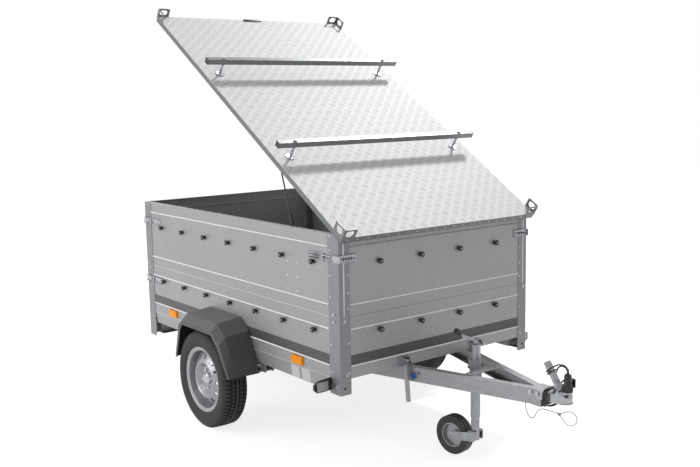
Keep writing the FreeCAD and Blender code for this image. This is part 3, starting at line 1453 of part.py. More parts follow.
# Ball coupling, a pressed steel cover over the beams' tips with a socket for the ball
def coupling():
    end_x = beam_end_x
    tail_x = beam_bend_x
    ball_x = nose_x - cell("ball_back")
    thick = cell("coupling_sheet")
    half_tail = beam_inner_nose + cell("drawbar_width") + cell("coupling_side_gap") + thick
    half_nose = cell("coupling_nose_half")
    top = coupling_top
    foot = top - cell("coupling_height")
    lip = cell("coupling_lip")

    def outline(offset, grow_tail):
        return [
            (tail_x - grow_tail, -half_tail - offset),
            (end_x, -half_tail - offset),
            (ball_x, -half_nose - offset),
            (ball_x + half_nose + offset, 0, ball_x, half_nose + offset),
            (end_x, half_tail + offset),
            (tail_x - grow_tail, half_tail + offset),
        ]

    def nose_side(name, drop, grow):
        """The cover's side view, with its nose sloping down ahead of the ball."""
        return prism(name, "XZ_Plane", [
            (tail_x - 2, foot - 2),
            (nose_x + 2, foot - 2),
            (nose_x + 2, top - cell("coupling_nose_drop") - drop),
            (ball_x + cell("coupling_nose_slope") - drop, top - drop),
            (tail_x - 2, top - drop),
        ], -half_tail - grow, half_tail * 2 + grow * 2)

    solid = prism("coupling_cover", "XY_Plane", outline(as_size(0), as_size(0)), foot, top - foot)
    cover = common("coupling_cover_sloped", solid, nose_side("coupling_side", as_size(0), 1))
    hollow = prism("coupling_void", "XY_Plane", outline(-thick, as_size(1)), foot - 1, top - foot + 1)
    void = common("coupling_void_sloped", hollow, nose_side("coupling_void_side", thick, 2))
    lip_start = end_x - cell("coupling_lip_tail")
    front_lip = prism("coupling_lip_plate", "XY_Plane", [
        (lip_start, -half_tail),
        (end_x, -half_tail - lip),
        (ball_x, -half_nose - lip),
        (nose_x, 0, ball_x, half_nose + lip),
        (end_x, half_tail + lip),
        (lip_start, half_tail),
    ], foot, cell("coupling_lip_sheet"))
    ball_z = cell("ball_height")
    ball_r = cell("ball_radius")
    neck_z = ball_z + ball_r - cell("socket_wall")
    socket_outer = fuse("socket_outer",
                        ball("socket_ball", (ball_x, 0.0, ball_z), ball_r + cell("socket_wall")),
                        bar("socket_neck", "Z", (ball_x - cell("socket_wall"), 0.0, neck_z),
                            top - thick / 2 - neck_z, ball_r - cell("socket_wall")))
    socket_inner = ball("socket_inner", (ball_x, 0.0, ball_z), ball_r + cell("ball_clearance"))
    under = block("socket_under", (ball_x - half_nose, ball_x + half_nose), (-half_nose, half_nose),
                  (foot - half_nose, foot))
    shell = cut("coupling_shell", fuse("coupling_cover_lip", cover, front_lip), void)
    cup = cut("socket_cup", socket_outer, under)
    handle_x = end_x + cell("handle_ahead")
    pivot_z = top + cell("handle_rise")
    half_handle = cell("handle_width") / 2
    ear_in = half_handle + cell("handle_side_gap")
    ear = prism("handle_ear", "XZ_Plane", [
        (handle_x - cell("handle_ear") * 1.5, top - 1),
        (handle_x + cell("handle_ear") * 1.5, top - 1),
        (handle_x + cell("handle_ear"), pivot_z),
        (handle_x, pivot_z + cell("handle_ear"), handle_x - cell("handle_ear"), pivot_z),
    ], ear_in, thick)
    pin = bar("handle_pin", "Y", (handle_x, -ear_in - thick, pivot_z), (ear_in + thick) * 2,
              cell("handle_pin"))
    head = cut("coupling_head_bored",
               fuse("coupling_head_solid", shell, cup, ear, mirror("handle_ear_right", ear), pin),
               socket_inner)
    node(head, "coupling_head")
    wall_t = cell("handle_sheet")
    depth = cell("handle_depth")
    outer = block("handle_outer", (-cell("handle_length"), cell("handle_past")), (-half_handle, half_handle),
                  (depth / 2 - depth, depth / 2))
    inner = block("handle_inner", (-cell("handle_length") + wall_t, cell("handle_past") + 1),
                  (-half_handle + wall_t, half_handle - wall_t), (-depth, depth / 2 - wall_t))
    bore = bar("handle_bore", "Y", (0, -half_handle - 1, 0), half_handle * 2 + 2,
               cell("handle_pin") + cell("running_gap"))
    seat = gather("handle_seat", cut("handle_bored", outer, inner, bore))
    place(seat, handle_x, 0.0, pivot_z, (0, 1, 0), cell("handle_angle"))
    node(seat, "coupling_handle")


# Routes of the electrical lead and the safety cable, chosen by hand: points along, across and up from
# the nose at the coupling's top
LEAD_IN_BEAM = [
    (-791, 214.5, -58), (-772, 191, -64), (-719, 175, -71), (-639, 150, -71), (-551, 127, -71),
    (-461, 96, -71), (-381, 76, -71), (-335, 50, -70.5), (-297, 18, -71), (-259, 1, -78),
    (-217, 0, -85), (-173, 1, -85), (-141, -10, -82),
]
# one turn of the lead round the coupling, across and up
COIL_TURN = [
    (2, -70), (-28, -67), (-49, -56), (-58, -35), (-58, -12), (-51, 7), (-27, 14),
    (0, 15), (27, 14), (51, 7), (58, -12), (58, -35), (49, -56), (28, -67),
]
COIL_START = -119.5
COIL_PITCH = 9.0
COIL_POINTS = 35
LEAD_TO_HANDLE = [
    (-98, 27, 18), (-93, 38, 32), (-75, 40, 49), (-56, 35, 69), (-45, 28, 90),
    (-50, 24, 108), (-65, 22, 118), (-85, 22, 114), (-101, 23, 101),
]
# one turn of the lead round the handle, across and above its middle
HANDLE_TURN = [
    (22.5, 5.5), (22.5, -5.5), (17.5, -13.2), (6.5, -15.2), (-6.5, -15.2), (-17.5, -13.2),
    (-22.5, -5.5), (-22.5, 5.5), (-17.5, 13.2), (-6.5, 15.2), (6.5, 15.2), (17.5, 13.2),
]
HANDLE_START = 60.0
HANDLE_PITCH = 12.0
HANDLE_POINTS = 21
LEAD_TO_PLUG = [
    (-100, -11.5, 113.5), (-85, -7, 122.5), (-72, -3, 128.5), (-56.2, 0, 130.7), (-45.2, 0, 130.7),
    (-35, 0, 126.5), (-27.2, 0, 118.7), (-23, 0, 108.5), (-23, 0, 97.5),
]
CABLE_ROUTE = [
    (-255, -20, -78), (-252, -20, -102), (-245, -20, -128), (-231, -20, -151), (-205, -20, -154),
    (-190, -20, -132), (-181, -19, -110), (-161, -15, -96), (-134, -8, -97), (-109, 2, -101),
    (-89, 12, -106), (-72, 18, -106), (-53, 26, -92), (-25, 37, -89), (-6, 46, -108), (-7, 50, -136),
    (-29, 46, -158), (-52, 38, -160), (-65, 28, -139), (-74, 18, -116), (-90, 12, -111.5),
]
CORDS = []


def lead_route():
    """The whole lead: in the beam, round the coupling, round the handle and down to the plug."""
    points = list(LEAD_IN_BEAM)
    for i in range(1, COIL_POINTS + 1):
        across, up = COIL_TURN[i % len(COIL_TURN)]
        points.append((COIL_START + COIL_PITCH * i / len(COIL_TURN), across, up))
    points += LEAD_TO_HANDLE
    lean = math.radians(SIZES["handle_angle"])
    pivot_x = SIZES["handle_ahead"] - SIZES["drawbar_end_back"]
    for i in range(HANDLE_POINTS):
        across, above = HANDLE_TURN[i % len(HANDLE_TURN)]
        along = HANDLE_START + HANDLE_PITCH * i / len(HANDLE_TURN)
        points.append((pivot_x - along * math.cos(lean) + above * math.sin(lean), across,
                       SIZES["handle_rise"] + along * math.sin(lean) + above * math.cos(lean)))
    return points + LEAD_TO_PLUG


def centre_line(points):
    """A cord's wire, straight runs joined by arcs that touch them, and the radii of its bends."""
    corners = [Vector(*point) for point in points]
    edges = []
    radii = []
    start = corners[0]
    for before, corner, after in zip(corners, corners[1:], corners[2:]):
        back = before - corner
        ahead = after - corner
        reach = 0.45 * min(back.Length, ahead.Length)
        half_turn = (math.pi - back.getAngle(ahead)) / 2
        radius = reach / math.tan(half_turn)
        back.normalize()
        ahead.normalize()
        inward = (back + ahead).normalize()
        first = corner + back * reach
        last = corner + ahead * reach
        middle = corner + inward * (radius / math.cos(half_turn) - radius)
        edges.append(Part.LineSegment(start, first).toShape())
        edges.append(Part.Arc(first, middle, last).toShape())
        radii.append(radius)
        start = last
    edges.append(Part.LineSegment(start, corners[-1]).toShape())
    return Part.Wire(edges), radii


def cord(name, points, diameter):
    """A round cord swept along its centre line."""
    wire, radii = centre_line(points)
    line = doc.addObject("Part::Feature", name + "_line")
    line.Shape = wire
    section = doc.addObject("Part::Circle", name + "_section")
    bind(section, "Radius", diameter / 2)
    ahead = Vector(*points[1]) - Vector(*points[0])
    section.Placement = Placement(Vector(*points[0]), Rotation(Vector(0, 0, 1), ahead))
    sweep = doc.addObject("Part::Sweep", name + "_sweep")
    sweep.Sections = [section]
    sweep.Spine = (line, [f"Edge{i + 1}" for i in range(len(wire.Edges))])
    sweep.Solid = True
    sweep.Frenet = False
    CORDS.append((name, sweep, wire.Length, diameter.value, radii))
    return sweep


def cords():
    lead = gather("lead_whole", cord("lead", lead_route(), cell("lead_diameter")))
    node(place(lead, nose_x, 0.0, coupling_top), "lead")
    body = turned("plug_body", [
        (0, 0),
        (cell("plug_radius") - 2, 0),
        (cell("plug_radius"), 2),
        (cell("plug_radius"), cell("plug_skirt")),
        (cell("plug_waist"), cell("plug_skirt") + 4),
        (cell("plug_waist"), cell("plug_shoulder")),
        (cell("plug_neck"), cell("plug_shoulder") + 5),
        (cell("plug_neck"), cell("plug_gland")),
        (cell("plug_gland_radius"), cell("plug_height")),
        (0, cell("plug_height")),
    ])
    cap = block("plug_cap", (cell("plug_neck"), cell("plug_cap_reach")),
                (-cell("plug_cap_half"), cell("plug_cap_half")),
                (cell("plug_cap_low"), cell("plug_cap_high")))
    cap_seat = place(gather("plug_cap_seat", cap), 0, 0, 0, (0, 0, 1), cell("plug_cap_angle"))
    plug = gather("plug_whole", fuse("plug_solid", body, cap_seat))
    node(place(plug, nose_x - cell("plug_back"), 0.0, coupling_top + cell("plug_rise")), "plug")
    rope = cord("safety_cable", CABLE_ROUTE, cell("cable_diameter"))
    half_long = cell("ferrule_length") / 2
    crimp = block("ferrule", (-half_long, half_long),
                  (-cell("ferrule_width") / 2, cell("ferrule_width") / 2),
                  (-cell("ferrule_height") / 2, cell("ferrule_height") / 2))
    seat = place(gather("ferrule_seat", crimp), -81.0, 14.8, -108.0, (0, 0, 1), cell("ferrule_angle"))
    cable = gather("safety_cable_whole", fuse("safety_cable_solid", rope, seat))
    node(place(cable, nose_x, 0.0, coupling_top), "safety_cable")


# Jockey wheel: the clamped outer tube with its crank, the telescopic inner tube and the fork
def jockey():
    x = jockey_x
    outer_r = cell("jockey_tube_radius")
    inner_r = outer_r - cell("jockey_tube_wall")
    low = cell("jockey_tube_foot")
    top = cell("jockey_tube_top")
    collar = cell("jockey_collar_height")
    tube = cut("jockey_outer_tube",
               fuse("jockey_outer_whole", bar("jockey_outer_solid", "Z", (x, 0, low), top - low, outer_r),
                    bar("jockey_collar", "Z", (x, 0, top - collar), collar, outer_r + cell("jockey_collar"))),
               bar("jockey_outer_void", "Z", (x, 0, low - 1), top - low - collar, inner_r))
    cap_top = top + cell("jockey_cap_height")
    cap = bar("jockey_cap", "Z", (x, 0, top), cell("jockey_cap_height"), cell("jockey_cap_radius"))
    reach = cell("crank_reach")
    arm_low = cap_top - cell("crank_width")
    arm = prism("crank_arm", "YZ_Plane", [
        (0, arm_low),
        (0, cap_top),
        (-reach, cap_top + cell("crank_rise")),
        (-reach - cell("crank_width") / 2, cap_top + cell("crank_rise") - cell("crank_width")),
    ], x - cell("crank_sheet") / 2, cell("crank_sheet"))
    knob_r = cell("crank_knob")
    knob_long = cell("crank_knob_length")
    grip = turned("crank_grip", [
        (0, 0),
        (knob_r * 0.3, 0),
        (knob_r * 0.3, knob_long * 0.3),
        (knob_r, knob_long * 0.6),
        (knob_r, knob_long * 0.8),
        (knob_r * 0.6, knob_long),
        (0, knob_long),
    ])
    place(grip, x, -reach, cap_top + cell("crank_rise") - cell("crank_width"), (1, 0, 0), cell("crank_tilt"))
    node(fuse("jockey_mast", tube, cap, arm, grip), "jockey_mast")
    slide_r = inner_r - cell("running_gap")
    foot = cell("jockey_inner_foot")
    high = cell("jockey_inner_top")
    stem_r = cell("jockey_stem")
    stem_long = cell("jockey_stem_depth")
    hollow_tube = cut("jockey_inner_hollow", bar("jockey_inner_solid", "Z", (x, 0, foot), high - foot, slide_r),
                      bar("jockey_inner_void", "Z", (x, 0, foot + cell("jockey_foot_wall")), high - foot,
                          slide_r - cell("jockey_inner_wall")))
    inner = fuse("jockey_inner", hollow_tube, bar("jockey_stem_pin", "Z", (x, 0, foot - stem_long),
                                                  stem_long + cell("jockey_foot_wall"), stem_r))
    node(inner, "jockey_inner_tube")
    plate = cell("fork_sheet")
    half = cell("fork_half")
    gap = cell("fork_gap")
    arm_r = cell("fork_arm")
    wheel_z = cell("jockey_radius") - foot
    trail = cell("jockey_trail")
    bore = bar("fork_bore", "Z", (0, 0, -gap - stem_long), stem_long + gap + 1, stem_r + cell("running_gap"))
    head = bar("fork_head", "Z", (0, 0, -gap - cell("fork_head")), cell("fork_head"), slide_r)
    cheeks = []
    for side, y in (("left", half - plate), ("right", -half)):
        cheeks.append(prism(f"fork_cheek_{side}", "XZ_Plane", [
            (slide_r, -gap),
            (slide_r, -gap - cell("fork_head")),
            (-trail, wheel_z - arm_r),
            (-trail - arm_r, wheel_z, -trail, wheel_z + arm_r),
        ], y, plate))
    bridge = block("fork_bridge", (-slide_r, slide_r), (-half, half), (-gap - plate, -gap))
    axle_pin = bar("fork_axle", "Y", (-trail, -half, wheel_z), half * 2, cell("jockey_axle"))
    fork = gather("fork", cut("fork_bored", fuse("fork_solid", head, bridge, axle_pin, *cheeks), bore))
    yaw = cell("jockey_yaw")
    place(fork, x, 0.0, foot, (0, 0, 1), yaw)
    node(fork, "jockey_fork")
    wheel_x = x - trail * cosine(yaw)
    wheel_y = -trail * sine(yaw)
    width = cell("jockey_width") / 2
    rim_r = cell("jockey_rim")
    radius = cell("jockey_radius")
    tyre = turned("jockey_tyre_body", [(rim_r, -width), (radius, -width), (radius, width), (rim_r, width)])
    bore_r = cell("jockey_axle") + cell("running_gap")
    hub = cell("jockey_hub")
    well = rim_r - hub / 2
    rim = turned("jockey_rim_body", [
        (bore_r, -width - 2),
        (hub, -width - 2),
        (hub, -plate),
        (well, -plate),
        (rim_r - plate, -width),
        (rim_r, -width),
        (rim_r, width),
        (rim_r - plate, width),
        (well, plate),
        (hub, plate),
        (hub, width + 2),
        (bore_r, width + 2),
    ])
    for thing, label in ((tyre, "jockey_tyre"), (rim, "jockey_rim")):
        seat = gather(label + "_upright", thing)
        thing.Placement = Placement(Vector(), Rotation(Vector(1, 0, 0), -90))
        place(seat, wheel_x, wheel_y, radius, (0, 0, 1), yaw)
        node(seat, label)


side_walls()
front_walls()
posts()
load_floor()
knobs()
boards()
corner_latches()
side_markers()
lamp_beam()
front_lamps()
chassis()
axle()
springs()
wheels()
mudguards()
lid()
lid_brackets()
roof_bars()
lid_hinge()
struts()
drawbar()
brace()
tipping_locks()
coupling()
cords()
jockey()

doc.recompute()
for name, sweep, length, diameter, radii in CORDS:
    whole = math.pi * diameter ** 2 / 4 * length
    print(f"{name}: {length:.0f} mm long, bends from {min(radii):.1f} mm, "
          f"volume {sweep.Shape.Volume / whole:.4f} of section by length")
    print("  bend radii:", " ".join(f"{radius:.0f}" for radius in radii))

# Every object must have worked, and every sub-part must be a sound solid, before anything is written
for thing in doc.Objects:
    if "Invalid" in thing.State or "Error" in thing.State:
        raise RuntimeError(f"{thing.Name} ({thing.TypeId}) failed: {thing.State}")
for thing in NODES:
    if thing.Shape.isNull() or not thing.Shape.isValid() or not thing.Shape.Solids:
        raise RuntimeError(f"{thing.Label} has no valid solid")
for thing in NODES:
    thing.Shape.exportStep(f"parts/{thing.Label}.step")
    print(f"{thing.Label}: {len(thing.Shape.Solids)} solids, {thing.Shape.Volume / 1000:.1f} cm3")
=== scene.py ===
# The utility trailer, dressed and standing on a pale studio floor
import math

import bmesh
import bpy
from mathutils import Matrix, Vector


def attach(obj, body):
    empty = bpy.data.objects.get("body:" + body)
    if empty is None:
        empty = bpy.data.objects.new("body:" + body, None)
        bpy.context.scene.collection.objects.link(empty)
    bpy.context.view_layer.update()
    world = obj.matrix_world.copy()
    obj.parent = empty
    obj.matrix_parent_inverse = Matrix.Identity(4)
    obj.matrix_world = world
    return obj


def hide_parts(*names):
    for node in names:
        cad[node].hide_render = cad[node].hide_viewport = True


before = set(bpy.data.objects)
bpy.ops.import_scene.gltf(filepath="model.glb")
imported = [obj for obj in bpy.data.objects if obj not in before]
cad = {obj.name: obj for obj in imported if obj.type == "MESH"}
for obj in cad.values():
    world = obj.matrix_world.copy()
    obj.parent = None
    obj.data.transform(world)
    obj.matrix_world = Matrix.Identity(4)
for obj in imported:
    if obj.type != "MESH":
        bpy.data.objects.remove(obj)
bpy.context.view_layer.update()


# The camera stands ahead of the trailer on its right side, a little above the lid's hinge, and looks
# slightly down along the box. Its lens gives the photograph's frame of 700 by 467.
camera_place = Vector((4.0251, -3.2041, 1.8103))
heading, dip, roll = math.radians(142.43), math.radians(-8.35), math.radians(-1.03)
lens = bpy.data.cameras.new("camera")
lens.sensor_width = 36.0
lens.lens = 47.9
lens.clip_end = 60.0
camera = bpy.data.objects.new("camera", lens)
bpy.context.scene.collection.objects.link(camera)
ahead = Vector((math.cos(heading) * math.cos(dip), math.sin(heading) * math.cos(dip), math.sin(dip)))
level = Vector((math.sin(heading), -math.cos(heading), 0.0))
upward = level.cross(ahead)
across = level * math.cos(roll) + upward * math.sin(roll)
upright = upward * math.cos(roll) - level * math.sin(roll)
camera.matrix_world = Matrix((
    (across.x, upright.x, -ahead.x, camera_place.x),
    (across.y, upright.y, -ahead.y, camera_place.y),
    (across.z, upright.z, -ahead.z, camera_place.z),
    (0.0, 0.0, 0.0, 1.0),
))
bpy.context.scene.camera = camera
bpy.context.scene.view_settings.view_transform = "Standard"


# The studio: a white floor that keeps a soft shadow, a white surround, a small high light on the left
# that draws the roof bars' shadows on the lid, a broad one on the right and a weaker one ahead.
def paint(code):
    """A screen colour such as 9a9b9d as linear light."""
    parts = [int(code[i:i + 2], 16) / 255.0 for i in (0, 2, 4)]
    return tuple(p / 12.92 if p <= 0.04045 else ((p + 0.055) / 1.055) ** 2.4 for p in parts) + (1.0,)


def add(tree, kind, values=None, links=None, **settings):
    """Adds a shader node, sets it up and joins it to what feeds it."""
    new = tree.nodes.new(kind)
    for key, value in settings.items():
        setattr(new, key, value)
    for key, value in (values or {}).items():
        new.inputs[key].default_value = value
    for key, source in (links or {}).items():
        tree.links.new(source, new.inputs[key])
    return new


def start_finish(name, **values):
    """A new finish: its material, its tree and its main shader."""
    material = bpy.data.materials.new(name)
    material.use_nodes = True
    tree = material.node_tree
    shader = tree.nodes["Principled BSDF"]
    for key, value in values.items():
        shader.inputs[key.replace("_", " ")].default_value = value
    return material, tree, shader


def reckon(tree, operation, *terms):
    """What a maths node makes of its terms, each a number or another node's output."""
    given = {i: term for i, term in enumerate(terms) if isinstance(term, float)}
    fed = {i: term for i, term in enumerate(terms) if not isinstance(term, float)}
    return add(tree, "ShaderNodeMath", given, fed, operation=operation).outputs[0]


floor_finish, tree, shader = start_finish("studio floor", Roughness=0.9)
shader.inputs["Base Color"].default_value = paint("e8e8e8")
seen = add(tree, "ShaderNodeLightPath")
either = reckon(tree, "MAXIMUM", seen.outputs["Is Camera Ray"], seen.outputs["Is Glossy Ray"])
shaded = add(tree, "ShaderNodeBsdfDiffuse", {"Color": paint("b4b4b4")})
white = add(tree, "ShaderNodeEmission", {"Color": (1, 1, 1, 1), "Strength": 0.8})
paper = add(tree, "ShaderNodeAddShader", None, {0: shaded.outputs[0], 1: white.outputs[0]})
mixed = add(tree, "ShaderNodeMixShader", None, {0: either, 1: shader.outputs[0], 2: paper.outputs[0]})
tree.links.new(mixed.outputs[0], tree.nodes["Material Output"].inputs["Surface"])

floor_half = 30.0
bm = bmesh.new()
bmesh.ops.create_grid(bm, x_segments=1, y_segments=1, size=floor_half)
floor_mesh = bpy.data.meshes.new("studio_floor")
bm.to_mesh(floor_mesh)
bm.free()
floor_mesh.materials.append(floor_finish)
floor = bpy.data.objects.new("studio_floor", floor_mesh)
bpy.context.scene.collection.objects.link(floor)

world_strength = 0.44
world = bpy.data.worlds.new("studio")
world.use_nodes = True
bpy.context.scene.world = world
tree = world.node_tree
plain = tree.nodes["Background"]
plain.inputs["Color"].default_value = (1.0, 1.0, 1.0, 1.0)
plain.inputs["Strength"].default_value = world_strength
backdrop = add(tree, "ShaderNodeBackground", {"Color": (1, 1, 1, 1), "Strength": 1.0})
seen = add(tree, "ShaderNodeLightPath")
either = reckon(tree, "MAXIMUM", seen.outputs["Is Camera Ray"], seen.outputs["Is Transmission Ray"])
shown = reckon(tree, "MAXIMUM", either, seen.outputs["Is Glossy Ray"])
mixed = add(tree, "ShaderNodeMixShader", None, {0: shown, 1: plain.outputs[0], 2: backdrop.outputs[0]})
tree.links.new(mixed.outputs[0], tree.nodes["World Output"].inputs["Surface"])

lamp_target = Vector((-0.1, 0.0, 0.7))
for name, place, watts, width in (
        ("light_over", (-3.13, 7.67, 10.55), 930.0, 1.3),
        ("light_right", (-2.2, -5.0, 2.4), 116.0, 3.0),
        ("light_ahead", (5.0, 1.4, 3.4), 6.0, 2.5)):
    light = bpy.data.lights.new(name, "AREA")
    light.energy = watts
    light.size = width
    lamp = bpy.data.objects.new(name, light)
    aim = lamp_target - Vector(place)
    lamp.matrix_world = Matrix.Translation(place) @ aim.to_track_quat("-Z", "Y").to_matrix().to_4x4()
    bpy.context.scene.collection.objects.link(lamp)


# The electrical lead is a round PVC cable, 7 mm thick. It leaves a grommet in the left beam, lies in the
# beam, passes under the coupling, is wound round it and the handle, and ends in its plug.
def piece(name, bm, material, body, replaced=(), smooth=35.0):
    """A finished piece from its bmesh, riding on a body of the trailer."""
    mesh = bpy.data.meshes.new(name)
    bm.to_mesh(mesh)
    bm.free()
    for polygon in mesh.polygons:
        polygon.use_smooth = True
    mesh.set_sharp_from_angle(angle=math.radians(smooth))
    mesh.materials.append(material)
    thing = bpy.data.objects.new(name, mesh)
    bpy.context.scene.collection.objects.link(thing)
    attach(thing, body)
    if replaced:
        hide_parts(*replaced)
    return thing


def cord_curve(name, points, radius, material):
    """A cord's smooth line through its route, as thick as the cord."""
    curve = bpy.data.curves.new(name, "CURVE")
    curve.dimensions = "3D"
    curve.bevel_depth = radius
    curve.bevel_resolution = 4
    curve.resolution_u = 6
    curve.use_fill_caps = True
    line = curve.splines.new("NURBS")
    line.points.add(len(points) - 1)
    for spot, place in zip(line.points, points):
        spot.co = (*place, 1.0)
    line.order_u = 3
    line.use_endpoint_u = True
    curve.materials.append(material)
    thing = bpy.data.objects.new(name, curve)
    bpy.context.scene.collection.objects.link(thing)
    return thing


def texture(tree, kind, scale, values=None, **settings):
    """A texture laid over a piece in its own coordinates."""
    place = add(tree, "ShaderNodeTexCoord")
    values = {"Scale": scale, **(values or {})}
    return add(tree, kind, values, {"Vector": place.outputs["Object"]}, **settings)


def ramp(tree, source, first, last, stops=(0.0, 1.0)):
    """Shades between two screen colours, as a texture's output leads them."""
    tone = add(tree, "ShaderNodeValToRGB", None, {"Fac": source})
    for end, stop, code in zip(tone.color_ramp.elements, stops, (first, last)):
        end.position = stop
        end.color = paint(code)
    return tone.outputs["Color"]


def mottled(name, scale, detail, first, last, stops=(0.0, 1.0), **values):
    """A finish that drifts between two colours with a noise."""
    material, tree, shader = start_finish(name, **values)
    cloud = texture(tree, "ShaderNodeTexNoise", scale, {"Detail": detail})
    tree.links.new(ramp(tree, cloud.outputs["Fac"], first, last, stops), shader.inputs["Base Color"])
    return material


# extruded PVC: deep black, a soft even sheen
lead_pvc = mottled("black PVC sheath", 900.0, 2.0, "141415", "1d1d1e", Roughness=0.42)

lead_route = [
    (0.6647, 0.2145, 0.4180), (0.6837, 0.1910, 0.4120), (0.7367, 0.1750, 0.4050), (0.8167, 0.1500, 0.4050),
    (0.9047, 0.1270, 0.4050), (0.9947, 0.0960, 0.4050), (1.0747, 0.0760, 0.4050), (1.1207, 0.0500, 0.4055),
    (1.1587, 0.0180, 0.4050), (1.1967, 0.0010, 0.3980), (1.2387, 0.0000, 0.3910), (1.2827, 0.0010, 0.3910),
    (1.3147, -0.0100, 0.3940), (1.3368, -0.0280, 0.4090), (1.3375, -0.0490, 0.4200), (1.3381, -0.0580, 0.4410),
    (1.3388, -0.0580, 0.4640), (1.3394, -0.0510, 0.4830), (1.3401, -0.0270, 0.4900), (1.3407, 0.0000, 0.4910),
    (1.3413, 0.0270, 0.4900), (1.3420, 0.0510, 0.4830), (1.3426, 0.0580, 0.4640), (1.3433, 0.0580, 0.4410),
    (1.3439, 0.0490, 0.4200), (1.3446, 0.0280, 0.4090), (1.3452, 0.0020, 0.4060), (1.3458, -0.0280, 0.4090),
    (1.3465, -0.0490, 0.4200), (1.3471, -0.0580, 0.4410), (1.3478, -0.0580, 0.4640), (1.3484, -0.0510, 0.4830),
    (1.3491, -0.0270, 0.4900), (1.3497, 0.0000, 0.4910), (1.3503, 0.0270, 0.4900), (1.3510, 0.0510, 0.4830),
    (1.3516, 0.0580, 0.4640), (1.3523, 0.0580, 0.4410), (1.3529, 0.0490, 0.4200), (1.3536, 0.0280, 0.4090),
    (1.3542, 0.0020, 0.4060), (1.3548, -0.0280, 0.4090), (1.3555, -0.0490, 0.4200), (1.3561, -0.0580, 0.4410),
    (1.3568, -0.0580, 0.4640), (1.3574, -0.0510, 0.4830), (1.3581, -0.0270, 0.4900), (1.3587, 0.0000, 0.4910),
    (1.3577, 0.0270, 0.4940), (1.3627, 0.0380, 0.5080), (1.3807, 0.0400, 0.5250), (1.3997, 0.0350, 0.5450),
    (1.4107, 0.0280, 0.5660), (1.4057, 0.0240, 0.5840), (1.3907, 0.0220, 0.5940), (1.3707, 0.0220, 0.5900),
    (1.3547, 0.0230, 0.5770), (1.3498, 0.0225, 0.5583), (1.3402, 0.0225, 0.5528), (1.3333, 0.0175, 0.5492),
    (1.3311, 0.0065, 0.5489), (1.3305, -0.0065, 0.5497), (1.3316, -0.0175, 0.5517), (1.3373, -0.0225, 0.5569),
    (1.3458, -0.0225, 0.5640), (1.3515, -0.0175, 0.5693), (1.3526, -0.0065, 0.5712), (1.3520, 0.0065, 0.5721),
    (1.3498, 0.0175, 0.5717), (1.3429, 0.0225, 0.5681), (1.3333, 0.0225, 0.5626), (1.3264, 0.0175, 0.5590),
    (1.3242, 0.0065, 0.5587), (1.3237, -0.0065, 0.5595), (1.3247, -0.0175, 0.5615), (1.3305, -0.0225, 0.5667),
    (1.3389, -0.0225, 0.5739), (1.3446, -0.0175, 0.5791), (1.3557, -0.0115, 0.5895), (1.3707, -0.0070, 0.5985),
    (1.3837, -0.0030, 0.6045), (1.3995, 0.0000, 0.6067), (1.4105, 0.0000, 0.6067), (1.4207, 0.0000, 0.6025),
    (1.4285, 0.0000, 0.5947), (1.4327, 0.0000, 0.5845), (1.4327, 0.0000, 0.5735),
]
lead = cord_curve("electrical_lead", lead_route, 0.0035, lead_pvc)
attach(lead, "drawbar")
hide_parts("lead")


# The plug hangs from the lead with its pins down: a wide barrel, a waist, a ribbed cap nut over the cable
# gland, and a hinged cover at its side, moulded in black plastic.
def emboss(tree, height, strength, depth):
    """Lifts a finish's surface by a texture's output."""
    bump = add(tree, "ShaderNodeBump", {"Strength": strength, "Distance": depth}, {"Height": height})
    tree.links.new(bump.outputs["Normal"], tree.nodes["Principled BSDF"].inputs["Normal"])


def roughen(material, scale, detail, strength, depth):
    """Gives a finish a fine raised grain."""
    tree = material.node_tree
    grain = texture(tree, "ShaderNodeTexNoise", scale, {"Detail": detail})
    emboss(tree, grain.outputs["Fac"], strength, depth)


def lathe(bm, profile, matrix=Matrix(), steps=32):
    """Turns a profile of (radius, height) points about its own Z axis, then puts it in place."""
    rows = [bm.verts.new((radius, 0.0, height)) for radius, height in profile]
    edges = [bm.edges.new((rows[i], rows[i + 1])) for i in range(len(rows) - 1)]
    made = bmesh.ops.spin(bm, geom=rows + edges, cent=(0, 0, 0), axis=(0, 0, 1), dvec=(0, 0, 0),
                          angle=math.tau, steps=steps, use_merge=True, use_duplicate=False)
    fresh = set(rows) | {v for v in made["geom_last"] if isinstance(v, bmesh.types.BMVert)}
    stack = list(fresh)
    while stack:
        here = stack.pop()
        for edge in here.link_edges:
            there = edge.other_vert(here)
            if there not in fresh:
                fresh.add(there)
                stack.append(there)
    fresh = list(fresh)
    bmesh.ops.remove_doubles(bm, verts=fresh, dist=1e-6)
    fresh = [v for v in fresh if v.is_valid]
    faces = list({f for v in fresh for f in v.link_faces})
    bmesh.ops.recalc_face_normals(bm, faces=faces)
    bmesh.ops.transform(bm, matrix=matrix, verts=fresh)


def at(place, direction=(0, 0, 1), turn=0.0):
    """A seat at a place, with its Z axis along a direction."""
    seat = Vector(direction).to_track_quat("Z", "Y").to_matrix().to_4x4()
    return Matrix.Translation(place) @ seat @ Matrix.Rotation(turn, 4, "Z")


def slab(bm, low, high, rounding=0.0, segments=2):
    """A box between two corners, with rounded edges."""
    size = Vector(high) - Vector(low)
    middle = (Vector(high) + Vector(low)) / 2
    frame_box = Matrix.Translation(middle) @ Matrix.Diagonal((*size, 1.0))
    made = bmesh.ops.create_cube(bm, size=1.0, matrix=frame_box)
    if rounding:
        edges = list({e for v in made["verts"] for e in v.link_edges})
        bmesh.ops.bevel(bm, geom=edges, offset=rounding, segments=segments, profile=0.5, affect="EDGES",
                        material=-1)
    return made["verts"]


# moulded ABS and rubber of the plug: black, a little glossier than the sheath
plug_abs = mottled("moulded black ABS", 1400.0, 3.0, "101011", "1a1a1b", Roughness=0.38)
roughen(plug_abs, 1400.0, 3.0, 0.15, 0.0003)
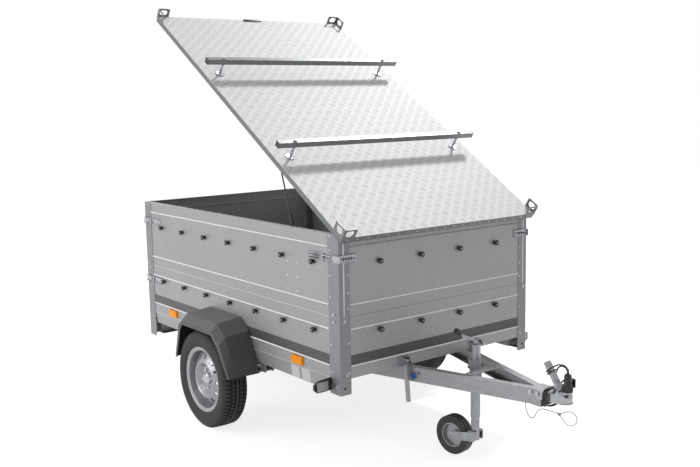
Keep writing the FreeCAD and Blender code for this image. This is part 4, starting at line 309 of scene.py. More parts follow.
# the hinged cover and its two arms, turned to the plug's left side
cover_turn = math.radians(78.0)
seat = Matrix.Translation((1.4327, 0.0, 0.4885))
bm = bmesh.new()
slab(bm, (0.0165, -0.0120, 0.0180), (0.0350, 0.0120, 0.0230), 0.0015)
slab(bm, (0.0300, -0.0120, 0.0180), (0.0350, 0.0120, 0.0580), 0.0018)
slab(bm, (0.0160, -0.0060, 0.0470), (0.0320, 0.0060, 0.0530), 0.0012)
bmesh.ops.transform(bm, matrix=seat @ Matrix.Rotation(cover_turn, 4, "Z"), verts=list(bm.verts))
lathe(bm, [(0.0, 0.0), (0.0210, 0.0), (0.0232, 0.0010), (0.0240, 0.0032), (0.0240, 0.0065), (0.0232, 0.0075),
           (0.0232, 0.0250), (0.0240, 0.0260), (0.0240, 0.0315), (0.0228, 0.0335), (0.0192, 0.0352),
           (0.0185, 0.0370), (0.0185, 0.0505), (0.0176, 0.0530), (0.0158, 0.0560), (0.0156, 0.0600),
           (0.0160, 0.0610), (0.0160, 0.0780), (0.0150, 0.0800), (0.0095, 0.0836), (0.0062, 0.0850),
           (0.0, 0.0850)], seat, 40)
# ribs round the barrel and round the cap nut
for count, radius, foot, height in ((20, 0.0231, 0.0082, 0.0160), (16, 0.0155, 0.0625, 0.0140)):
    shape = Matrix.Diagonal((0.0016, 0.0024, height, 1.0))
    for i in range(count):
        rib = (seat @ Matrix.Rotation(math.tau * i / count, 4, "Z")
               @ Matrix.Translation((radius, 0, foot + height / 2)) @ shape)
        bmesh.ops.create_cube(bm, size=1.0, matrix=rib)
plug = piece("lead_plug", bm, plug_abs, "drawbar", ["plug"])

# the stepped rubber sleeve that keeps the lead from kinking where it leaves the plug
bm = bmesh.new()
lathe(bm, [(0.0, -0.0008), (0.0064, -0.0008), (0.0062, 0.0040), (0.0056, 0.0044), (0.0056, 0.0070),
           (0.0052, 0.0074), (0.0050, 0.0110), (0.0045, 0.0114), (0.0044, 0.0160), (0.0040, 0.0164),
           (0.0039, 0.0220), (0.0035, 0.0226), (0.0, 0.0226)], at((1.4327, 0.0, 0.5735)), 24)
relief = piece("lead_relief", bm, plug_abs, "drawbar")


# The safety cable is a 4 mm galvanised wire rope with a clear look of grey strands. It hangs in a loop
# under the beams and ends in an eye that a crimped ferrule closes.
rope_zinc, tree, shader = start_finish("galvanised wire rope", Metallic=0.8, Roughness=0.45)
strand = texture(tree, "ShaderNodeTexWave", 110.0, {"Distortion": 0.4}, wave_type="BANDS",
                 bands_direction="DIAGONAL")
tree.links.new(ramp(tree, strand.outputs["Fac"], "707173", "a7a8aa"), shader.inputs["Base Color"])
cable_route = [
    (1.2007, -0.0200, 0.3980), (1.2037, -0.0200, 0.3740), (1.2107, -0.0200, 0.3480), (1.2247, -0.0200, 0.3250),
    (1.2507, -0.0200, 0.3220), (1.2657, -0.0200, 0.3440), (1.2747, -0.0190, 0.3660), (1.2947, -0.0150, 0.3800),
    (1.3217, -0.0080, 0.3790), (1.3467, 0.0020, 0.3750), (1.3667, 0.0120, 0.3700), (1.3837, 0.0180, 0.3700),
    (1.4027, 0.0260, 0.3840), (1.4307, 0.0370, 0.3870), (1.4497, 0.0460, 0.3680), (1.4487, 0.0500, 0.3400),
    (1.4267, 0.0460, 0.3180), (1.4037, 0.0380, 0.3160), (1.3907, 0.0280, 0.3370), (1.3817, 0.0180, 0.3600),
    (1.3657, 0.0120, 0.3645),
]
safety_cable = cord_curve("safety_cable_rope", cable_route, 0.002, rope_zinc)
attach(safety_cable, "drawbar")
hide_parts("safety_cable")
# the ferrule lies along the cable, which runs 19.4 degrees off straight ahead there
cable_turn = math.radians(19.4)
bm = bmesh.new()
slab(bm, (-0.0085, -0.0035, -0.0058), (0.0085, 0.0035, 0.0058), 0.003, 3)
bmesh.ops.transform(bm, matrix=at((1.3747, 0.0148, 0.3680), (0, 0, 1), cable_turn), verts=list(bm.verts))
ferrule = piece("cable_ferrule", bm, rope_zinc, "drawbar")


# The load box is pressed from hot-dip galvanised sheet, 1.5 mm thick, with rolled beads, riveted to
# corner posts. The zinc shows a faint crystal spangle, greyer where it has weathered.
def galvanised(name, dark, light, roughness, metallic=0.35, spangle=90.0):
    """Zinc between two greys: crystals, slow weathering, and a gloss that changes with the crystals."""
    material, tree, shader = start_finish(name, Metallic=metallic, Roughness=roughness)
    crystal = texture(tree, "ShaderNodeTexVoronoi", spangle)
    weather = texture(tree, "ShaderNodeTexNoise", 3.0, {"Detail": 6.0, "Roughness": 0.6})
    blend = add(tree, "ShaderNodeMix", {"Factor": 0.55},
                {"A": crystal.outputs["Color"], "B": weather.outputs["Fac"]}, data_type="FLOAT")
    tone = ramp(tree, blend.outputs["Result"], dark, light, (0.25, 0.75))
    rough = add(tree, "ShaderNodeMapRange", {"To Min": roughness - 0.06, "To Max": roughness + 0.06},
                {"Value": crystal.outputs["Color"]})
    tree.links.new(tone, shader.inputs["Base Color"])
    tree.links.new(rough.outputs["Result"], shader.inputs["Roughness"])
    return material


def dress(name, material):
    """Gives a carried-over sub-part its finish."""
    thing = cad[name]
    if not thing.material_slots:
        thing.data.materials.append(material)
    for spot in thing.material_slots:
        spot.material = material


def side_slab(bm, side, x, y, z, rounding=0.0):
    """A slab between spans along, out from the middle and up, on the left (1) or the right (-1)."""
    low, high = sorted((side * y[0], side * y[1]))
    slab(bm, (x[0], low, z[0]), (x[1], high, z[1]), rounding)


sheet_zinc = galvanised("galvanised sheet", "999a9c", "a2a3a5", 0.44)
section_zinc = galvanised("galvanised section", "969799", "a5a6a8", 0.50, spangle=60.0)
post_zinc = galvanised("galvanised post", "838487", "8e8f92", 0.48)
for name in ("side_lower_left", "side_lower_right", "side_upper_left", "side_upper_right", "front_lower",
             "front_upper", "tailgate_lower", "tailgate_upper"):
    dress(name, sheet_zinc)
for name in ("post_front_left", "post_front_right", "post_rear_left", "post_rear_right"):
    dress(name, post_zinc)

# painted highlights on the upper faces of the pressed beads' crests, where the light from above catches them
bead_highlight_zinc = galvanised("painted crest highlight", "ececed", "f6f6f7", 0.40, metallic=0.05, spangle=40.0)


def crest(bm, start, end, out):
    """A painted highlight strip along the upper outer quarter of a bead, a hair proud of the sheet."""
    turns = range(-10, 111, 24)
    section = [(0.0053, turn) for turn in turns] + [(0.0046, turn) for turn in reversed(turns)]
    rows = []
    for place in (start, end):
        ring = []
        for radius, turn in section:
            angle = math.radians(turn)
            ring.append(bm.verts.new(Vector(place) + Vector(out) * radius * math.cos(angle)
                                     + Vector((0, 0, radius * math.sin(angle)))))
        rows.append(ring)
    made = [bm.faces.new(rows[0]), bm.faces.new(rows[1][::-1])]
    for i in range(len(section)):
        made.append(bm.faces.new((rows[0][i - 1], rows[1][i - 1], rows[1][i], rows[0][i])))
    bmesh.ops.recalc_face_normals(bm, faces=made)


bead_span = (-1.3507, 0.5217)
front_half = 0.5810
bm = bmesh.new()
for z in (0.535, 0.715, 0.834, 1.113):
    for side in (-1, 1):
        crest(bm, (bead_span[0], side * 0.6430, z), (bead_span[1], side * 0.6430, z), (0, side, 0))
    # the front wall's top bead is left without a painted crest highlight
    if z < 1.0:
        crest(bm, (0.6043, -front_half, z), (0.6043, front_half, z), (1, 0, 0))
# painted highlights along the seams where one sheet laps the next
for side in (-1, 1):
    for seam in ((0.7773, 0.7787), (0.4752, 0.4766)):
        side_slab(bm, side, bead_span, (0.6438, 0.6445), seam)
piece("bead_crest_highlights", bm, bead_highlight_zinc, "root")

# film-faced birch plywood: dark brown resin film with a pressed mesh pattern of 5 mm
board_film, tree, shader = start_finish("film-faced plywood", Roughness=0.5)
mesh_x, mesh_y = (
    texture(tree, "ShaderNodeTexWave", 62.0, wave_type="BANDS", bands_direction=way).outputs["Fac"]
    for way in "XY")
wear_and_bar_shade = texture(tree, "ShaderNodeTexNoise", 5.0, {"Detail": 8.0})
tree.links.new(ramp(tree, wear_and_bar_shade.outputs["Fac"], "46382e", "665245"), shader.inputs["Base Color"])
emboss(tree, reckon(tree, "MULTIPLY", mesh_x, mesh_y), 0.3, 0.0006)
dress("floor_panel", board_film)

# self-adhesive vinyl: dark grey, smooth, blank
stripe_vinyl = mottled("dark grey vinyl", 40.0, 3.0, "444446", "4f4f51", Roughness=0.4)
stripe_low, stripe_high = 0.5405, 0.5900
bm = bmesh.new()
for side in (-1, 1):
    side_slab(bm, side, (-1.3510, 0.5220), (0.6440, 0.6444), (stripe_low, stripe_high))
slab(bm, (0.6053, -front_half, stripe_low), (0.6057, front_half, stripe_high))
piece("wall_stripes", bm, stripe_vinyl, "root")

# two blank pale stickers on the right skirt, which leans in towards its foot
sticker = mottled("pale paper label", 120.0, 4.0, "c9c9c8", "d6d6d4", Roughness=0.55)
skirt = Matrix.Translation((0.0, -0.6374, 0.4080)) @ Matrix.Rotation(math.atan2(7.0, 71.0), 4, "X")
bm = bmesh.new()
for x_low, x_high in ((0.1827, 0.2547), (0.2767, 0.3507)):
    made = slab(bm, (x_low, -0.0002, 0.0), (x_high, 0.0002, 0.062))
    bmesh.ops.transform(bm, matrix=skirt, verts=made)
piece("skirt_labels", bm, sticker, "root")

# blind rivets of bright aluminium along the posts, and zinc bolts where walls and posts meet
bright_zinc, tree, shader = start_finish("bright zinc plate", Metallic=0.85, Roughness=0.28)
cloud = texture(tree, "ShaderNodeTexNoise", 25.0, {"Detail": 6.0})
rough = add(tree, "ShaderNodeMapRange", {"To Min": 0.22, "To Max": 0.36}, {"Value": cloud.outputs["Fac"]})
tree.links.new(ramp(tree, cloud.outputs["Fac"], "a9abae", "c2c4c7", (0.3, 0.7)), shader.inputs["Base Color"])
tree.links.new(rough.outputs["Result"], shader.inputs["Roughness"])


def rivet(bm, place, direction, radius=0.005, proud=0.0018):
    """A domed rivet head on a face."""
    lathe(bm, [(0.0, -0.0004), (radius, -0.0004), (radius * 0.98, proud * 0.35), (radius * 0.72, proud * 0.8),
               (radius * 0.3, proud), (0.0, proud)], at(place, direction), 12)


def hex_bolt(bm, place, direction, flats=0.013, head=0.006, washer=0.010, turn=0.0):
    """A hexagon head on its washer."""
    seat = at(place, direction, turn)
    lathe(bm, [(0.0, -0.0004), (washer, -0.0004), (washer, 0.0012), (washer - 0.0008, 0.0018), (0.0, 0.0018)],
          seat, 20)
    made = bmesh.ops.create_cone(bm, cap_ends=True, cap_tris=False, segments=6, radius1=flats * 0.577,
                                 radius2=flats * 0.577, depth=head,
                                 matrix=seat @ Matrix.Translation((0, 0, 0.0016 + head / 2)))
    rim = [e for v in made["verts"] for e in v.link_edges]
    bmesh.ops.bevel(bm, geom=list(set(rim)), offset=0.0009, segments=1, profile=0.5, affect="EDGES",
                    material=-1)


post_side, post_front = 0.6460, 0.6073      # the posts' outer faces, out from the middle and ahead
front_post_x, rear_post_x = 0.5377, -1.3930
bm = bmesh.new()
for side in (-1, 1):
    out = (0, side, 0)
    for z in (1.165, 1.097, 0.976, 0.872, 0.640, 0.505, 0.440):
        rivet(bm, (front_post_x, side * post_side, z), out)
    for z in (1.165, 0.976, 0.872, 0.640, 0.505, 0.440):
        rivet(bm, (rear_post_x, side * post_side, z), out)
    for z in (1.150, 0.980, 0.895, 0.820, 0.650, 0.505):
        rivet(bm, (post_front, side * 0.5930, z), (1, 0, 0))
    # six that hold the strut's bracket behind the wall
    for x in (0.1747, 0.2617):
        for z in (0.998, 0.928, 0.859):
            rivet(bm, (x, side * 0.6440, z), out, 0.0055, 0.002)
    # bolts where the upper walls meet the lower ones
    for x in (0.5647, -1.3900):
        for z in (0.790, 0.755):
            hex_bolt(bm, (x, side * post_side, z), out)
    hex_bolt(bm, (post_front, side * 0.6180, 0.760), (1, 0, 0))
    hex_bolt(bm, (0.5795, side * post_side, 0.440), out)
    rivet(bm, (post_front, side * 0.6071, 0.496), (1, 0, 0), 0.006, 0.0025)
    # a rolled rib down the post's front face, in bright zinc as a painted highlight along its edge
    side_slab(bm, side, (0.6065, 0.6083), (0.6140, 0.6215), (0.7800, 1.1400), 0.0008)
piece("box_fasteners", bm, bright_zinc, "root")


def hole(bm, radius, place, direction):
    """A thin dark disc on a face, painted shade standing for the inside of an open hole."""
    lathe(bm, [(0.0, -0.0003), (radius, -0.0003), (radius, 0.0003), (0.0, 0.0003)], at(place, direction), 20)


# painted shade: dark discs on the posts' open holes and a dark strip along the front wall's seam stand for the
# shaded inside
painted_hole_shade = mottled("painted shade in a hole", 200.0, 2.0, "0c0c0d", "19191a", Roughness=0.8)
bm = bmesh.new()
for side in (-1, 1):
    hole(bm, 0.0065, (post_front, side * 0.6193, 0.434), (1, 0, 0))
slab(bm, (0.6050, -front_half, 0.7775), (0.6056, front_half, 0.7786))
piece("post_hole_shade", bm, painted_hole_shade, "root")


# Tarpaulin knobs are black nylon spools, screwed on: a base disc, a thin waist and a domed head.
# moulded nylon: near black with a satin skin
knob_nylon = mottled("moulded black nylon", 700.0, 2.0, "161617", "222223", Roughness=0.4)
knob_shape = [(0.0, -0.0003), (0.0115, -0.0003), (0.0120, 0.0020), (0.0070, 0.0045), (0.0066, 0.0100),
              (0.0100, 0.0114), (0.0142, 0.0132), (0.0146, 0.0165), (0.0122, 0.0205), (0.0070, 0.0221),
              (0.0052, 0.0216), (0.0, 0.0214)]
# those of the rear boards have straight heads
board_knob_shape = [(0.0, 0.0002), (0.0112, 0.0002), (0.0114, 0.0022), (0.0066, 0.0046), (0.0066, 0.0100),
                    (0.0100, 0.0114), (0.0134, 0.0119), (0.0134, 0.0212), (0.0110, 0.0218), (0.0, 0.0218)]
low_row, high_row = 0.6910, 1.0280
side_knobs = [0.4013 - 0.268 * i for i in range(7)]
end_knobs = [0.266 * (i - 1.5) for i in range(4)]


def knob_spots(side_face, front_face):
    """Where the knobs of the side and front walls cross two faces, and which way they point."""
    rows = (low_row, high_row)
    sides = [((x, side * side_face, z), (0, side, 0)) for side in (-1, 1) for z in rows for x in side_knobs]
    return sides + [((front_face, y, z), (1, 0, 0)) for z in rows for y in end_knobs]


bm = bmesh.new()
for place, direction in knob_spots(0.6440, 0.6053):
    lathe(bm, knob_shape, at(place, direction), 16)
piece("tarp_knob_set", bm, knob_nylon, "root", ["tarp_knobs"])
bm = bmesh.new()
for place, direction in knob_spots(0.6655, 0.6268):
    rivet(bm, place, direction, 0.0032, 0.0010)
piece("knob_screws", bm, bright_zinc, "root")
for name, body, z in (("lower_knobs", "lower_tailgate", low_row),
                      ("upper_knobs", "upper_tailgate", high_row)):
    bm = bmesh.new()
    for y in end_knobs:
        lathe(bm, board_knob_shape, at((-1.4337, y, z), (-1, 0, 0)), 16)
    piece(name, bm, knob_nylon, body)


# Corner latches are toggle clasps pressed from zinc-plated steel. A channel lever on the side wall pulls a
# wire loop that hooks a channel round the corner post.
latch_zinc = galvanised("zinc-plated pressing", "a0a2a5", "b6b8bb", 0.30, metallic=0.6, spangle=30.0)
dress("corner_latches", latch_zinc)
# painted shade: dark strips for the slots punched in the front wraps and along the levers
bm = bmesh.new()
for side in (-1, 1):
    for i in range(5):
        side_slab(bm, side, (0.6190, 0.6195), (0.5600 + 0.0150 * i, 0.5690 + 0.0150 * i), (1.0550, 1.0650))
    for heights in ((1.0645, 1.0690), (1.0510, 1.0555)):
        side_slab(bm, side, (0.3850, 0.4740), (0.6575, 0.6582), heights)
piece("latch_slot_shade", bm, painted_hole_shade, "root")


# Side markers are orange polycarbonate reflectors on the skirts of the lower walls, with moulded prisms
# behind a flat face.
lens_orange, tree, shader = start_finish("orange polycarbonate lens", Roughness=0.35, Specular_IOR_Level=0.2)
prisms = texture(tree, "ShaderNodeTexVoronoi", 260.0)
tree.links.new(ramp(tree, prisms.outputs["Distance"], "ffa20a", "ff9000"), shader.inputs["Base Color"])
dress("side_markers", lens_orange)

# Front position lamps are clear lenses on black rubber arms; the rear lamps are red with an amber and a
# clear section, moulded in one with a thin grey frame.
arm_rubber = mottled("moulded black rubber", 500.0, 3.0, "141415", "202021", Roughness=0.6)
roughen(arm_rubber, 500.0, 3.0, 0.2, 0.0003)
dress("front_lamps", arm_rubber)

lens_clear, tree, shader = start_finish("clear polycarbonate lens", Roughness=0.12)
flutes = texture(tree, "ShaderNodeTexWave", 55.0, wave_type="BANDS", bands_direction="Y")
tree.links.new(ramp(tree, flutes.outputs["Fac"], "8b8d90", "bbbdc0"), shader.inputs["Base Color"])
bm = bmesh.new()
for side in (-1, 1):
    side_slab(bm, side, (0.5415, 0.5452), (0.6740, 0.7380), (0.4240, 0.4690), 0.0012)
piece("front_lenses", bm, lens_clear, "root")

# the rear lens is clear up to 0.39 m from the middle, red up to 0.49 m and amber beyond
red_from, amber_from = 0.39, 0.49
lens_red, tree, shader = start_finish("red polycarbonate lens", Roughness=0.15)
place = add(tree, "ShaderNodeTexCoord")
apart = add(tree, "ShaderNodeSeparateXYZ", None, {"Vector": place.outputs["Object"]})
section = add(tree, "ShaderNodeValToRGB", None, {"Fac": reckon(tree, "ABSOLUTE", apart.outputs["Y"])})
section.color_ramp.interpolation = "CONSTANT"
clear, red = section.color_ramp.elements
clear.color = paint("dadada")
clear.position = 0.0
red.color = paint("b3100c")
red.position = red_from
amber = section.color_ramp.elements.new(amber_from)
amber.color = paint("f08a10")
tree.links.new(section.outputs["Color"], shader.inputs["Base Color"])
emboss(tree, texture(tree, "ShaderNodeTexVoronoi", 180.0).outputs["Distance"], 0.3, 0.0008)
dress("rear_lamps", lens_red)
dress("rear_lamp_beam", sheet_zinc)


# The chassis is rolled galvanised channel with its cross members. The axle is a square tube, carried by
# black leaf springs in galvanised hangers.
for name in ("chassis_frame", "cross_members", "axle_beam", "spring_hangers"):
    dress(name, section_zinc)
dress("tip_pivots", bright_zinc)
spring_paint = mottled("black painted spring steel", 18.0, 8.0, "18181a", "2c2c2e", Roughness=0.5)
dress("leaf_springs", spring_paint)


# Road wheels: a radial tyre with five ribs and sipes cut in its shoulders, on a dished steel rim with
# oval vents, held by four wheel bolts round the hub's cap.
tyre_rubber = mottled("vulcanised rubber", 14.0, 8.0, "212122", "303031", Roughness=0.72)
roughen(tyre_rubber, 900.0, 2.0, 0.25, 0.0004)
wheel_steel = mottled("silver lacquered steel", 60.0, 5.0, "9a9b9e", "a8a9ac", (0.35, 0.65), Metallic=0.45,
                      Roughness=0.34)
wheel_place = (-0.4453, 0.7530, 0.2735)     # of the left wheel
tread_steps = 216
sipe_depth = 0.0045
bolt_circle, valve_circle = 0.049, 0.134

# half of the tyre's section, from its bead to the middle of the tread: (radius, distance from the middle)
tyre_side = [
    (0.1655, 0.0545), (0.1720, 0.0600), (0.1830, 0.0655), (0.1930, 0.0700), (0.1960, 0.0722),
    (0.1990, 0.0722), (0.2020, 0.0718), (0.2150, 0.0765), (0.2270, 0.0773), (0.2400, 0.0755),
    (0.2440, 0.0752), (0.2470, 0.0730), (0.2580, 0.0675), (0.2680, 0.0600), (0.2715, 0.0550),
    (0.2722, 0.0420), (0.2650, 0.0405), (0.2650, 0.0345), (0.2728, 0.0330), (0.2733, 0.0160),
    (0.2655, 0.0148), (0.2655, 0.0088), (0.2735, 0.0075),
]
for side, sign in (("left", 1), ("right", -1)):
    bm = bmesh.new()
    ring = [(r, w) for r, w in tyre_side] + [(r, -w) for r, w in reversed(tyre_side)]
    rows = [bm.verts.new((r, 0.0, w)) for r, w in ring]
    edges = [bm.edges.new((rows[i], rows[(i + 1) % len(rows)])) for i in range(len(rows))]
    bmesh.ops.spin(bm, geom=rows + edges, cent=(0, 0, 0), axis=(0, 0, 1), dvec=(0, 0, 0), angle=math.tau,
                   steps=tread_steps, use_merge=True, use_duplicate=False)
    bmesh.ops.remove_doubles(bm, verts=list(bm.verts), dist=1e-6)
    bmesh.ops.recalc_face_normals(bm, faces=list(bm.faces))
    # sipes: every third strip of the shoulder and of the outer ribs is sunk
    cuts = []
    for face in bm.faces:
        middle = face.calc_center_median()
        radius = math.hypot(middle.x, middle.y)
        step = round((math.degrees(math.atan2(middle.y, middle.x)) % 360.0) / (360.0 / tread_steps) - 0.5)
        if step % 3 == 0 and 0.2560 < radius and 0.0420 < abs(middle.z):
            cuts.append(face)
        elif step % 3 == 1 and radius > 0.2700 and 0.0160 < abs(middle.z) < 0.0340:
            cuts.append(face)
    sunk = bmesh.ops.extrude_discrete_faces(bm, faces=cuts)["faces"]
    for face in sunk:
        middle = face.calc_center_median()
        inward = Vector((middle.x, middle.y, 0.0)).normalized() * -sipe_depth
        bmesh.ops.translate(bm, vec=inward, verts=list(face.verts))
    hub = Matrix.Translation((wheel_place[0], sign * wheel_place[1], wheel_place[2]))
    seat = hub @ Matrix.Rotation(math.radians(-90 * sign), 4, "X")
    bmesh.ops.transform(bm, matrix=seat, verts=list(bm.verts))
    piece(f"tread_tyre_{side}", bm, tyre_rubber, f"wheel_{side}", [f"tyre_{side}"], 40.0)
    dress(f"rim_{side}", wheel_steel)
    dress(f"hub_{side}", bright_zinc)
    bm = bmesh.new()
    for i in range(4):
        turn = math.tau * i / 4 + math.radians(12.0)
        spot = seat @ Vector((bolt_circle * math.cos(turn), bolt_circle * math.sin(turn), 0.0272))
        hex_bolt(bm, spot, (0, sign, 0), 0.017, 0.010, 0.011, turn)
    valve_turn = 0.8
    valve_spot = (valve_circle * math.cos(valve_turn), valve_circle * math.sin(valve_turn), 0.040)
    valve = seat @ Matrix.Translation(valve_spot)
    lathe(bm, [(0.0, -0.012), (0.0055, -0.012), (0.0045, 0.0), (0.0035, 0.010), (0.0042, 0.011),
               (0.0042, 0.019), (0.0, 0.020)], valve, 12)
    piece(f"wheel_bolts_{side}", bm, bright_zinc, f"wheel_{side}")


# Mudguards are injection-moulded polypropylene in charcoal, with a fine leathery grain, and a painted
# highlight that lightens what faces up.
guard_plastic, tree, shader = start_finish("grained polypropylene", Roughness=0.42)
cloud = texture(tree, "ShaderNodeTexNoise", 6.0, {"Detail": 4.0})
tone = ramp(tree, cloud.outputs["Fac"], "3a3b3d", "444547")
# painted highlight: the more a face points up, the more its colour is lifted towards a pale grey
facing = add(tree, "ShaderNodeNewGeometry")
apart = add(tree, "ShaderNodeSeparateXYZ", None, {"Vector": facing.outputs["Normal"]})
painted_top_light = add(tree, "ShaderNodeMapRange", {"From Min": 0.3, "From Max": 0.95, "To Max": 0.75},
            {"Value": apart.outputs["Z"]})
# a mix of colours has its factor, first and second colour at 0, 6 and 7, and its result at 2
laid = add(tree, "ShaderNodeMix", {7: paint("707173")}, {0: painted_top_light.outputs["Result"], 6: tone},
           data_type="RGBA")
tree.links.new(laid.outputs[2], shader.inputs["Base Color"])
roughen(guard_plastic, 350.0, 4.0, 0.3, 0.0005)
for name in ("mudguard_left", "mudguard_right"):
    dress(name, guard_plastic)


# The lid is aluminium five-bar tread plate on a folded frame, with corner brackets, two roof bars and
# three hinges on the front rim.
lid_slope = math.radians(32.7)
lid_seat = Matrix.Translation((0.6013, 0.0, 1.1845)) @ Matrix.Rotation(lid_slope, 4, "Y")
# the plate's ends and its half width, in the lid's own frame
lid_front, lid_rear, lid_half = 0.0530, -2.0445, 0.6555


def pick(tree, choice, first, second):
    """The first output where the choice is 0, and the second where it is 1."""
    mix = add(tree, "ShaderNodeMix", None, {"Factor": choice, "A": first, "B": second}, data_type="FLOAT")
    return mix.outputs["Result"]


# rolled aluminium: groups of five raised bars in squares of 48 mm set on edge, each group across the next
squares_per_metre = 20.8
plate_metal, tree, shader = start_finish("five-bar tread plate", Metallic=0.08, Roughness=0.60)
place = add(tree, "ShaderNodeTexCoord")
flat = add(tree, "ShaderNodeMapping",
           {"Rotation": (0.0, -lid_slope, math.radians(45.0)), "Scale": (squares_per_metre,) * 3},
           {"Vector": place.outputs["Object"]}, vector_type="POINT")
apart = add(tree, "ShaderNodeSeparateXYZ", None, {"Vector": flat.outputs["Vector"]})
cell_x, cell_y = (reckon(tree, "FLOOR", apart.outputs[way]) for way in "XY")
within_x, within_y = (reckon(tree, "FRACT", apart.outputs[way]) for way in "XY")
parity = reckon(tree, "FLOORED_MODULO", reckon(tree, "ADD", cell_x, cell_y), 2.0)
along = pick(tree, parity, within_x, within_y)
over = pick(tree, parity, within_y, within_x)
# each bar swells to its middle and fades at its ends, and its group keeps off the square's sides
bars = reckon(tree, "COSINE", reckon(tree, "MULTIPLY", over, math.tau * 5))
ends = reckon(tree, "COSINE", reckon(tree, "MULTIPLY", along, math.tau))
sides = reckon(tree, "COSINE", reckon(tree, "MULTIPLY", over, math.tau))
raised = add(tree, "ShaderNodeMapRange", {"From Min": -0.2, "From Max": -1.1},
             {"Value": reckon(tree, "ADD", bars, ends)}, interpolation_type="SMOOTHSTEP")
group = add(tree, "ShaderNodeMapRange", {"From Min": 0.55, "From Max": 0.15},
            {"Value": reckon(tree, "MAXIMUM", sides, ends)}, interpolation_type="SMOOTHSTEP")
# painted shade in the plate's colour: the bars that lie across the light are darkened one by one, and the
# others as a grey patch
wear_and_bar_shade = pick(tree, parity, group.outputs["Result"], raised.outputs["Result"])
tree.links.new(ramp(tree, wear_and_bar_shade, "d9dadc", "cbccce"), shader.inputs["Base Color"])
emboss(tree, raised.outputs["Result"], 0.45, 0.0015)
dress("lid_plate", plate_metal)
# the folded edges are older zinc, darker than the walls
fold_zinc = galvanised("galvanised fold", "66686a", "77797b", 0.42)
for name in ("lid_side_skirts", "lid_frame"):
    dress(name, fold_zinc)
for name in ("lid_hinge", "strut_brackets"):
    dress(name, bright_zinc)
# a row of rivets along the front fold
bm = bmesh.new()
for i in range(21):
    lathe(bm, [(0.0, -0.0003), (0.0042, -0.0003), (0.0040, 0.0010), (0.0020, 0.0016), (0.0, 0.0016)],
          lid_seat @ at((lid_front, 0.062 * (i - 10), -0.004), (1, 0, 0)), 12)
piece("lid_rivets", bm, bright_zinc, "lid")

# the corner brackets are folded 3 mm plates with large rounded openings, in darker zinc
bracket_zinc = galvanised("galvanised bracket", "6f7173", "808284", 0.38)


def wing(bm, seat, width, height, sheet):
    """A plate with rounded corners and an oval opening in its upper part."""
    def round_box(low_x, high_x, low_y, high_y, radius):
        spots = []
        for cx, cy, start in ((high_x - radius, high_y - radius, 0), (low_x + radius, high_y - radius, 90),
                              (low_x + radius, low_y + radius, 180), (high_x - radius, low_y + radius, 270)):
            for k in range(7):
                turn = math.radians(start + 15 * k)
                spots.append((cx + radius * math.cos(turn), cy + radius * math.sin(turn)))
        return spots
    outer = round_box(0.0, width, 0.0, height, 0.008)
    inner = round_box(0.012, width - 0.014, height - 0.040, height - 0.009, 0.0150)
    layers = [[bm.verts.new(seat @ Vector((x, y, z))) for x, y in ring]
              for z in (0.0, sheet) for ring in (outer, inner)]
    made = []
    for a, b in ((0, 1), (1, 3), (3, 2), (2, 0)):
        for i in range(len(outer)):
            made.append(bm.faces.new((layers[a][i - 1], layers[a][i], layers[b][i], layers[b][i - 1])))
    bmesh.ops.recalc_face_normals(bm, faces=made)


bracket_width, bracket_height, bracket_sheet = 0.075, 0.062, 0.003
bm = bmesh.new()
for side in (-1, 1):
    for x, out in ((lid_front, 1), (lid_rear, -1)):
        flank = Matrix(((-out, 0, 0, x), (0, 0, side, side * lid_half), (0, 1, 0, 0.0), (0, 0, 0, 1)))
        across_end = Matrix(((0, 0, out, x), (-side, 0, 0, side * 0.6585), (0, 1, 0, 0.0), (0, 0, 0, 1)))
        for face in (flank, across_end):
            wing(bm, lid_seat @ face, bracket_width, bracket_height, bracket_sheet)
piece("bracket_plates", bm, bracket_zinc, "lid", ["lid_corner_brackets"])

# the roof bars are square zinc tubes with black plugs; each stands on two threaded rods with a dished
# washer on the plate, nuts below and a bolt head above
bar_zinc = galvanised("galvanised bar", "77797b", "848688", 0.36)
dress("roof_bars", bar_zinc)
bar_places = (-0.5909, -1.3931)
bm = bmesh.new()
for x in bar_places:
    for side in (-1, 1):
        low, high = sorted((side * 0.6690, side * 0.6710))
        slab(bm, (x - 0.0155, low, 0.0805), (x + 0.0155, high, 0.1115), 0.0006, 1)
bmesh.ops.transform(bm, matrix=lid_seat, verts=list(bm.verts))
piece("bar_plugs", bm, knob_nylon, "lid")
stand_track, bar_top = 0.5650, 0.1110
lid_up = lid_seat.to_3x3() @ Vector((0, 0, 1))
bm = bmesh.new()
for x in bar_places:
    for side in (-1, 1):
        seat = lid_seat @ Matrix.Translation((x, side * stand_track, 0.0))
        lathe(bm, [(0.0, 0.0122), (0.0230, 0.0150), (0.0240, 0.0165), (0.0236, 0.0172), (0.0070, 0.0150),
                   (0.0070, 0.0700), (0.0105, 0.0700), (0.0105, 0.0808), (0.0, 0.0808)], seat, 24)
        hex_bolt(bm, seat @ Vector((0, 0, bar_top)), lid_up, 0.017, 0.008, 0.011)
piece("bar_stands", bm, bright_zinc, "lid", ["roof_bar_stands"])

# a small black handle lies on the lid's rear edge
bm = bmesh.new()
slab(bm, (-2.0440, -0.0700, 0.0122), (-2.0260, 0.0560, 0.0190), 0.003)
bmesh.ops.transform(bm, matrix=lid_seat, verts=list(bm.verts))
piece("lid_rear_handle", bm, knob_nylon, "lid")

# gas struts: black painted cylinders and nitrided black rods
cylinder_paint = mottled("satin black paint", 200.0, 2.0, "171718", "1f1f20", Roughness=0.3)
for side in ("left", "right"):
    dress(f"strut_tube_{side}", cylinder_paint)
    dress(f"strut_rod_{side}", cylinder_paint)


# The drawbar is two galvanised channels in a V, with a clamp plate for the jockey wheel, a pressed
# coupling head over their tips and two tipping locks.
beam_zinc = galvanised("galvanised beam", "9b9c9f", "abacaf", 0.42)
for name in ("drawbar_beams", "jockey_clamp"):
    dress(name, beam_zinc)
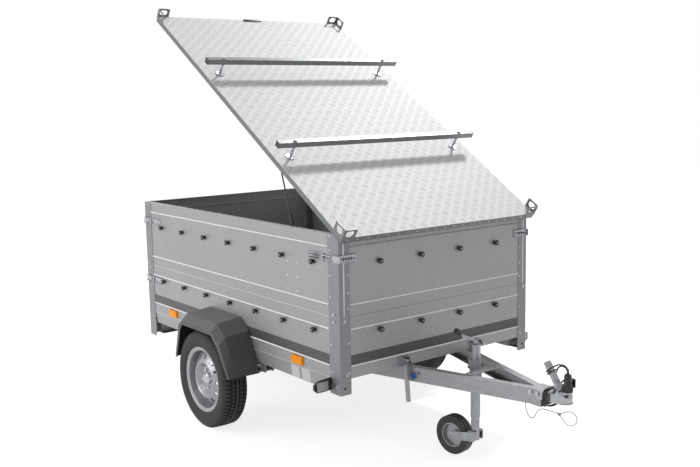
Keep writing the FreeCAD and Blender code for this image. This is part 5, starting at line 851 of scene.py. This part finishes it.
# pressed and drawn steel under bright zinc, greyer than the bolts
drawn_zinc = galvanised("zinc-plated drawn steel", "85878a", "a0a2a5", 0.30, metallic=0.75, spangle=30.0)
coupling_zinc = galvanised("zinc-plated coupling", "8d8f92", "aeb0b3", 0.24, metallic=0.85, spangle=20.0)
dress("coupling_head", coupling_zinc)
for name in ("coupling_handle", "tipping_locks"):
    dress(name, drawn_zinc)
bm = bmesh.new()
for side in (-1, 1):
    for x in (1.2587, 1.2997):
        hex_bolt(bm, (x, side * 0.0472, 0.457), (0, side, 0), 0.018, 0.009, 0.0135)
    for y in (0.1060, 0.0810):
        hex_bolt(bm, (0.9260, side * y, 0.476), (0, 0, 1), 0.014, 0.006, 0.011)
piece("drawbar_bolts", bm, bright_zinc, "drawbar")
# a blue pull ring on the right lock's pin, and painted shade for the holes in the beam and in the coupling's
# nose
ring_blue = mottled("blue nylon", 600.0, 2.0, "0f5bb0", "1a6cc2", Roughness=0.4)
beam_out = (0.2867, -0.9580, 0.0)           # square to the right beam's outer face
bm = bmesh.new()
lathe(bm, [(0.0080, 0.0), (0.0120, -0.0040), (0.0160, 0.0), (0.0120, 0.0040), (0.0080, 0.0)],
      at((0.6540, -0.2313, 0.4280), beam_out), 32)
lathe(bm, [(0.0, 0.0), (0.0042, 0.0), (0.0042, 0.0120), (0.0, 0.0120)],
      at((0.6540, -0.2198, 0.4280), beam_out), 16)
piece("lock_ring", bm, ring_blue, "drawbar")
bm = bmesh.new()
hole(bm, 0.0060, (0.6780, -0.2126, 0.4460), beam_out)
hole(bm, 0.0055, (1.4290, -0.0030, 0.4745), (0.45, 0.0, 0.89))
piece("drawbar_hole_shade", bm, painted_hole_shade, "drawbar")


# The jockey wheel slides in a clamped tube. Its crank turns a screw inside the tube, and a fork under it
# carries the wheel with its solid tyre.
for name in ("jockey_mast", "jockey_inner_tube", "jockey_fork"):
    dress(name, drawn_zinc)
# solid rubber, blacker than the road tyres
solid_rubber = mottled("solid black rubber", 30.0, 6.0, "121213", "1f1f20", Roughness=0.5)
dress("jockey_tyre", solid_rubber)
crank_lean = math.radians(41.0)
grip = Matrix.Translation((0.8587, -0.0980, 0.6450)) @ Matrix.Rotation(crank_lean, 4, "X")
bm = bmesh.new()
lathe(bm, [(0.0, 0.0010), (0.0060, 0.0010), (0.0062, 0.0165), (0.0120, 0.0250), (0.0176, 0.0330),
           (0.0178, 0.0440), (0.0160, 0.0490), (0.0108, 0.0556), (0.0, 0.0562)], grip, 32)
piece("crank_knob", bm, knob_nylon, "drawbar")
dress("jockey_rim", wheel_steel)
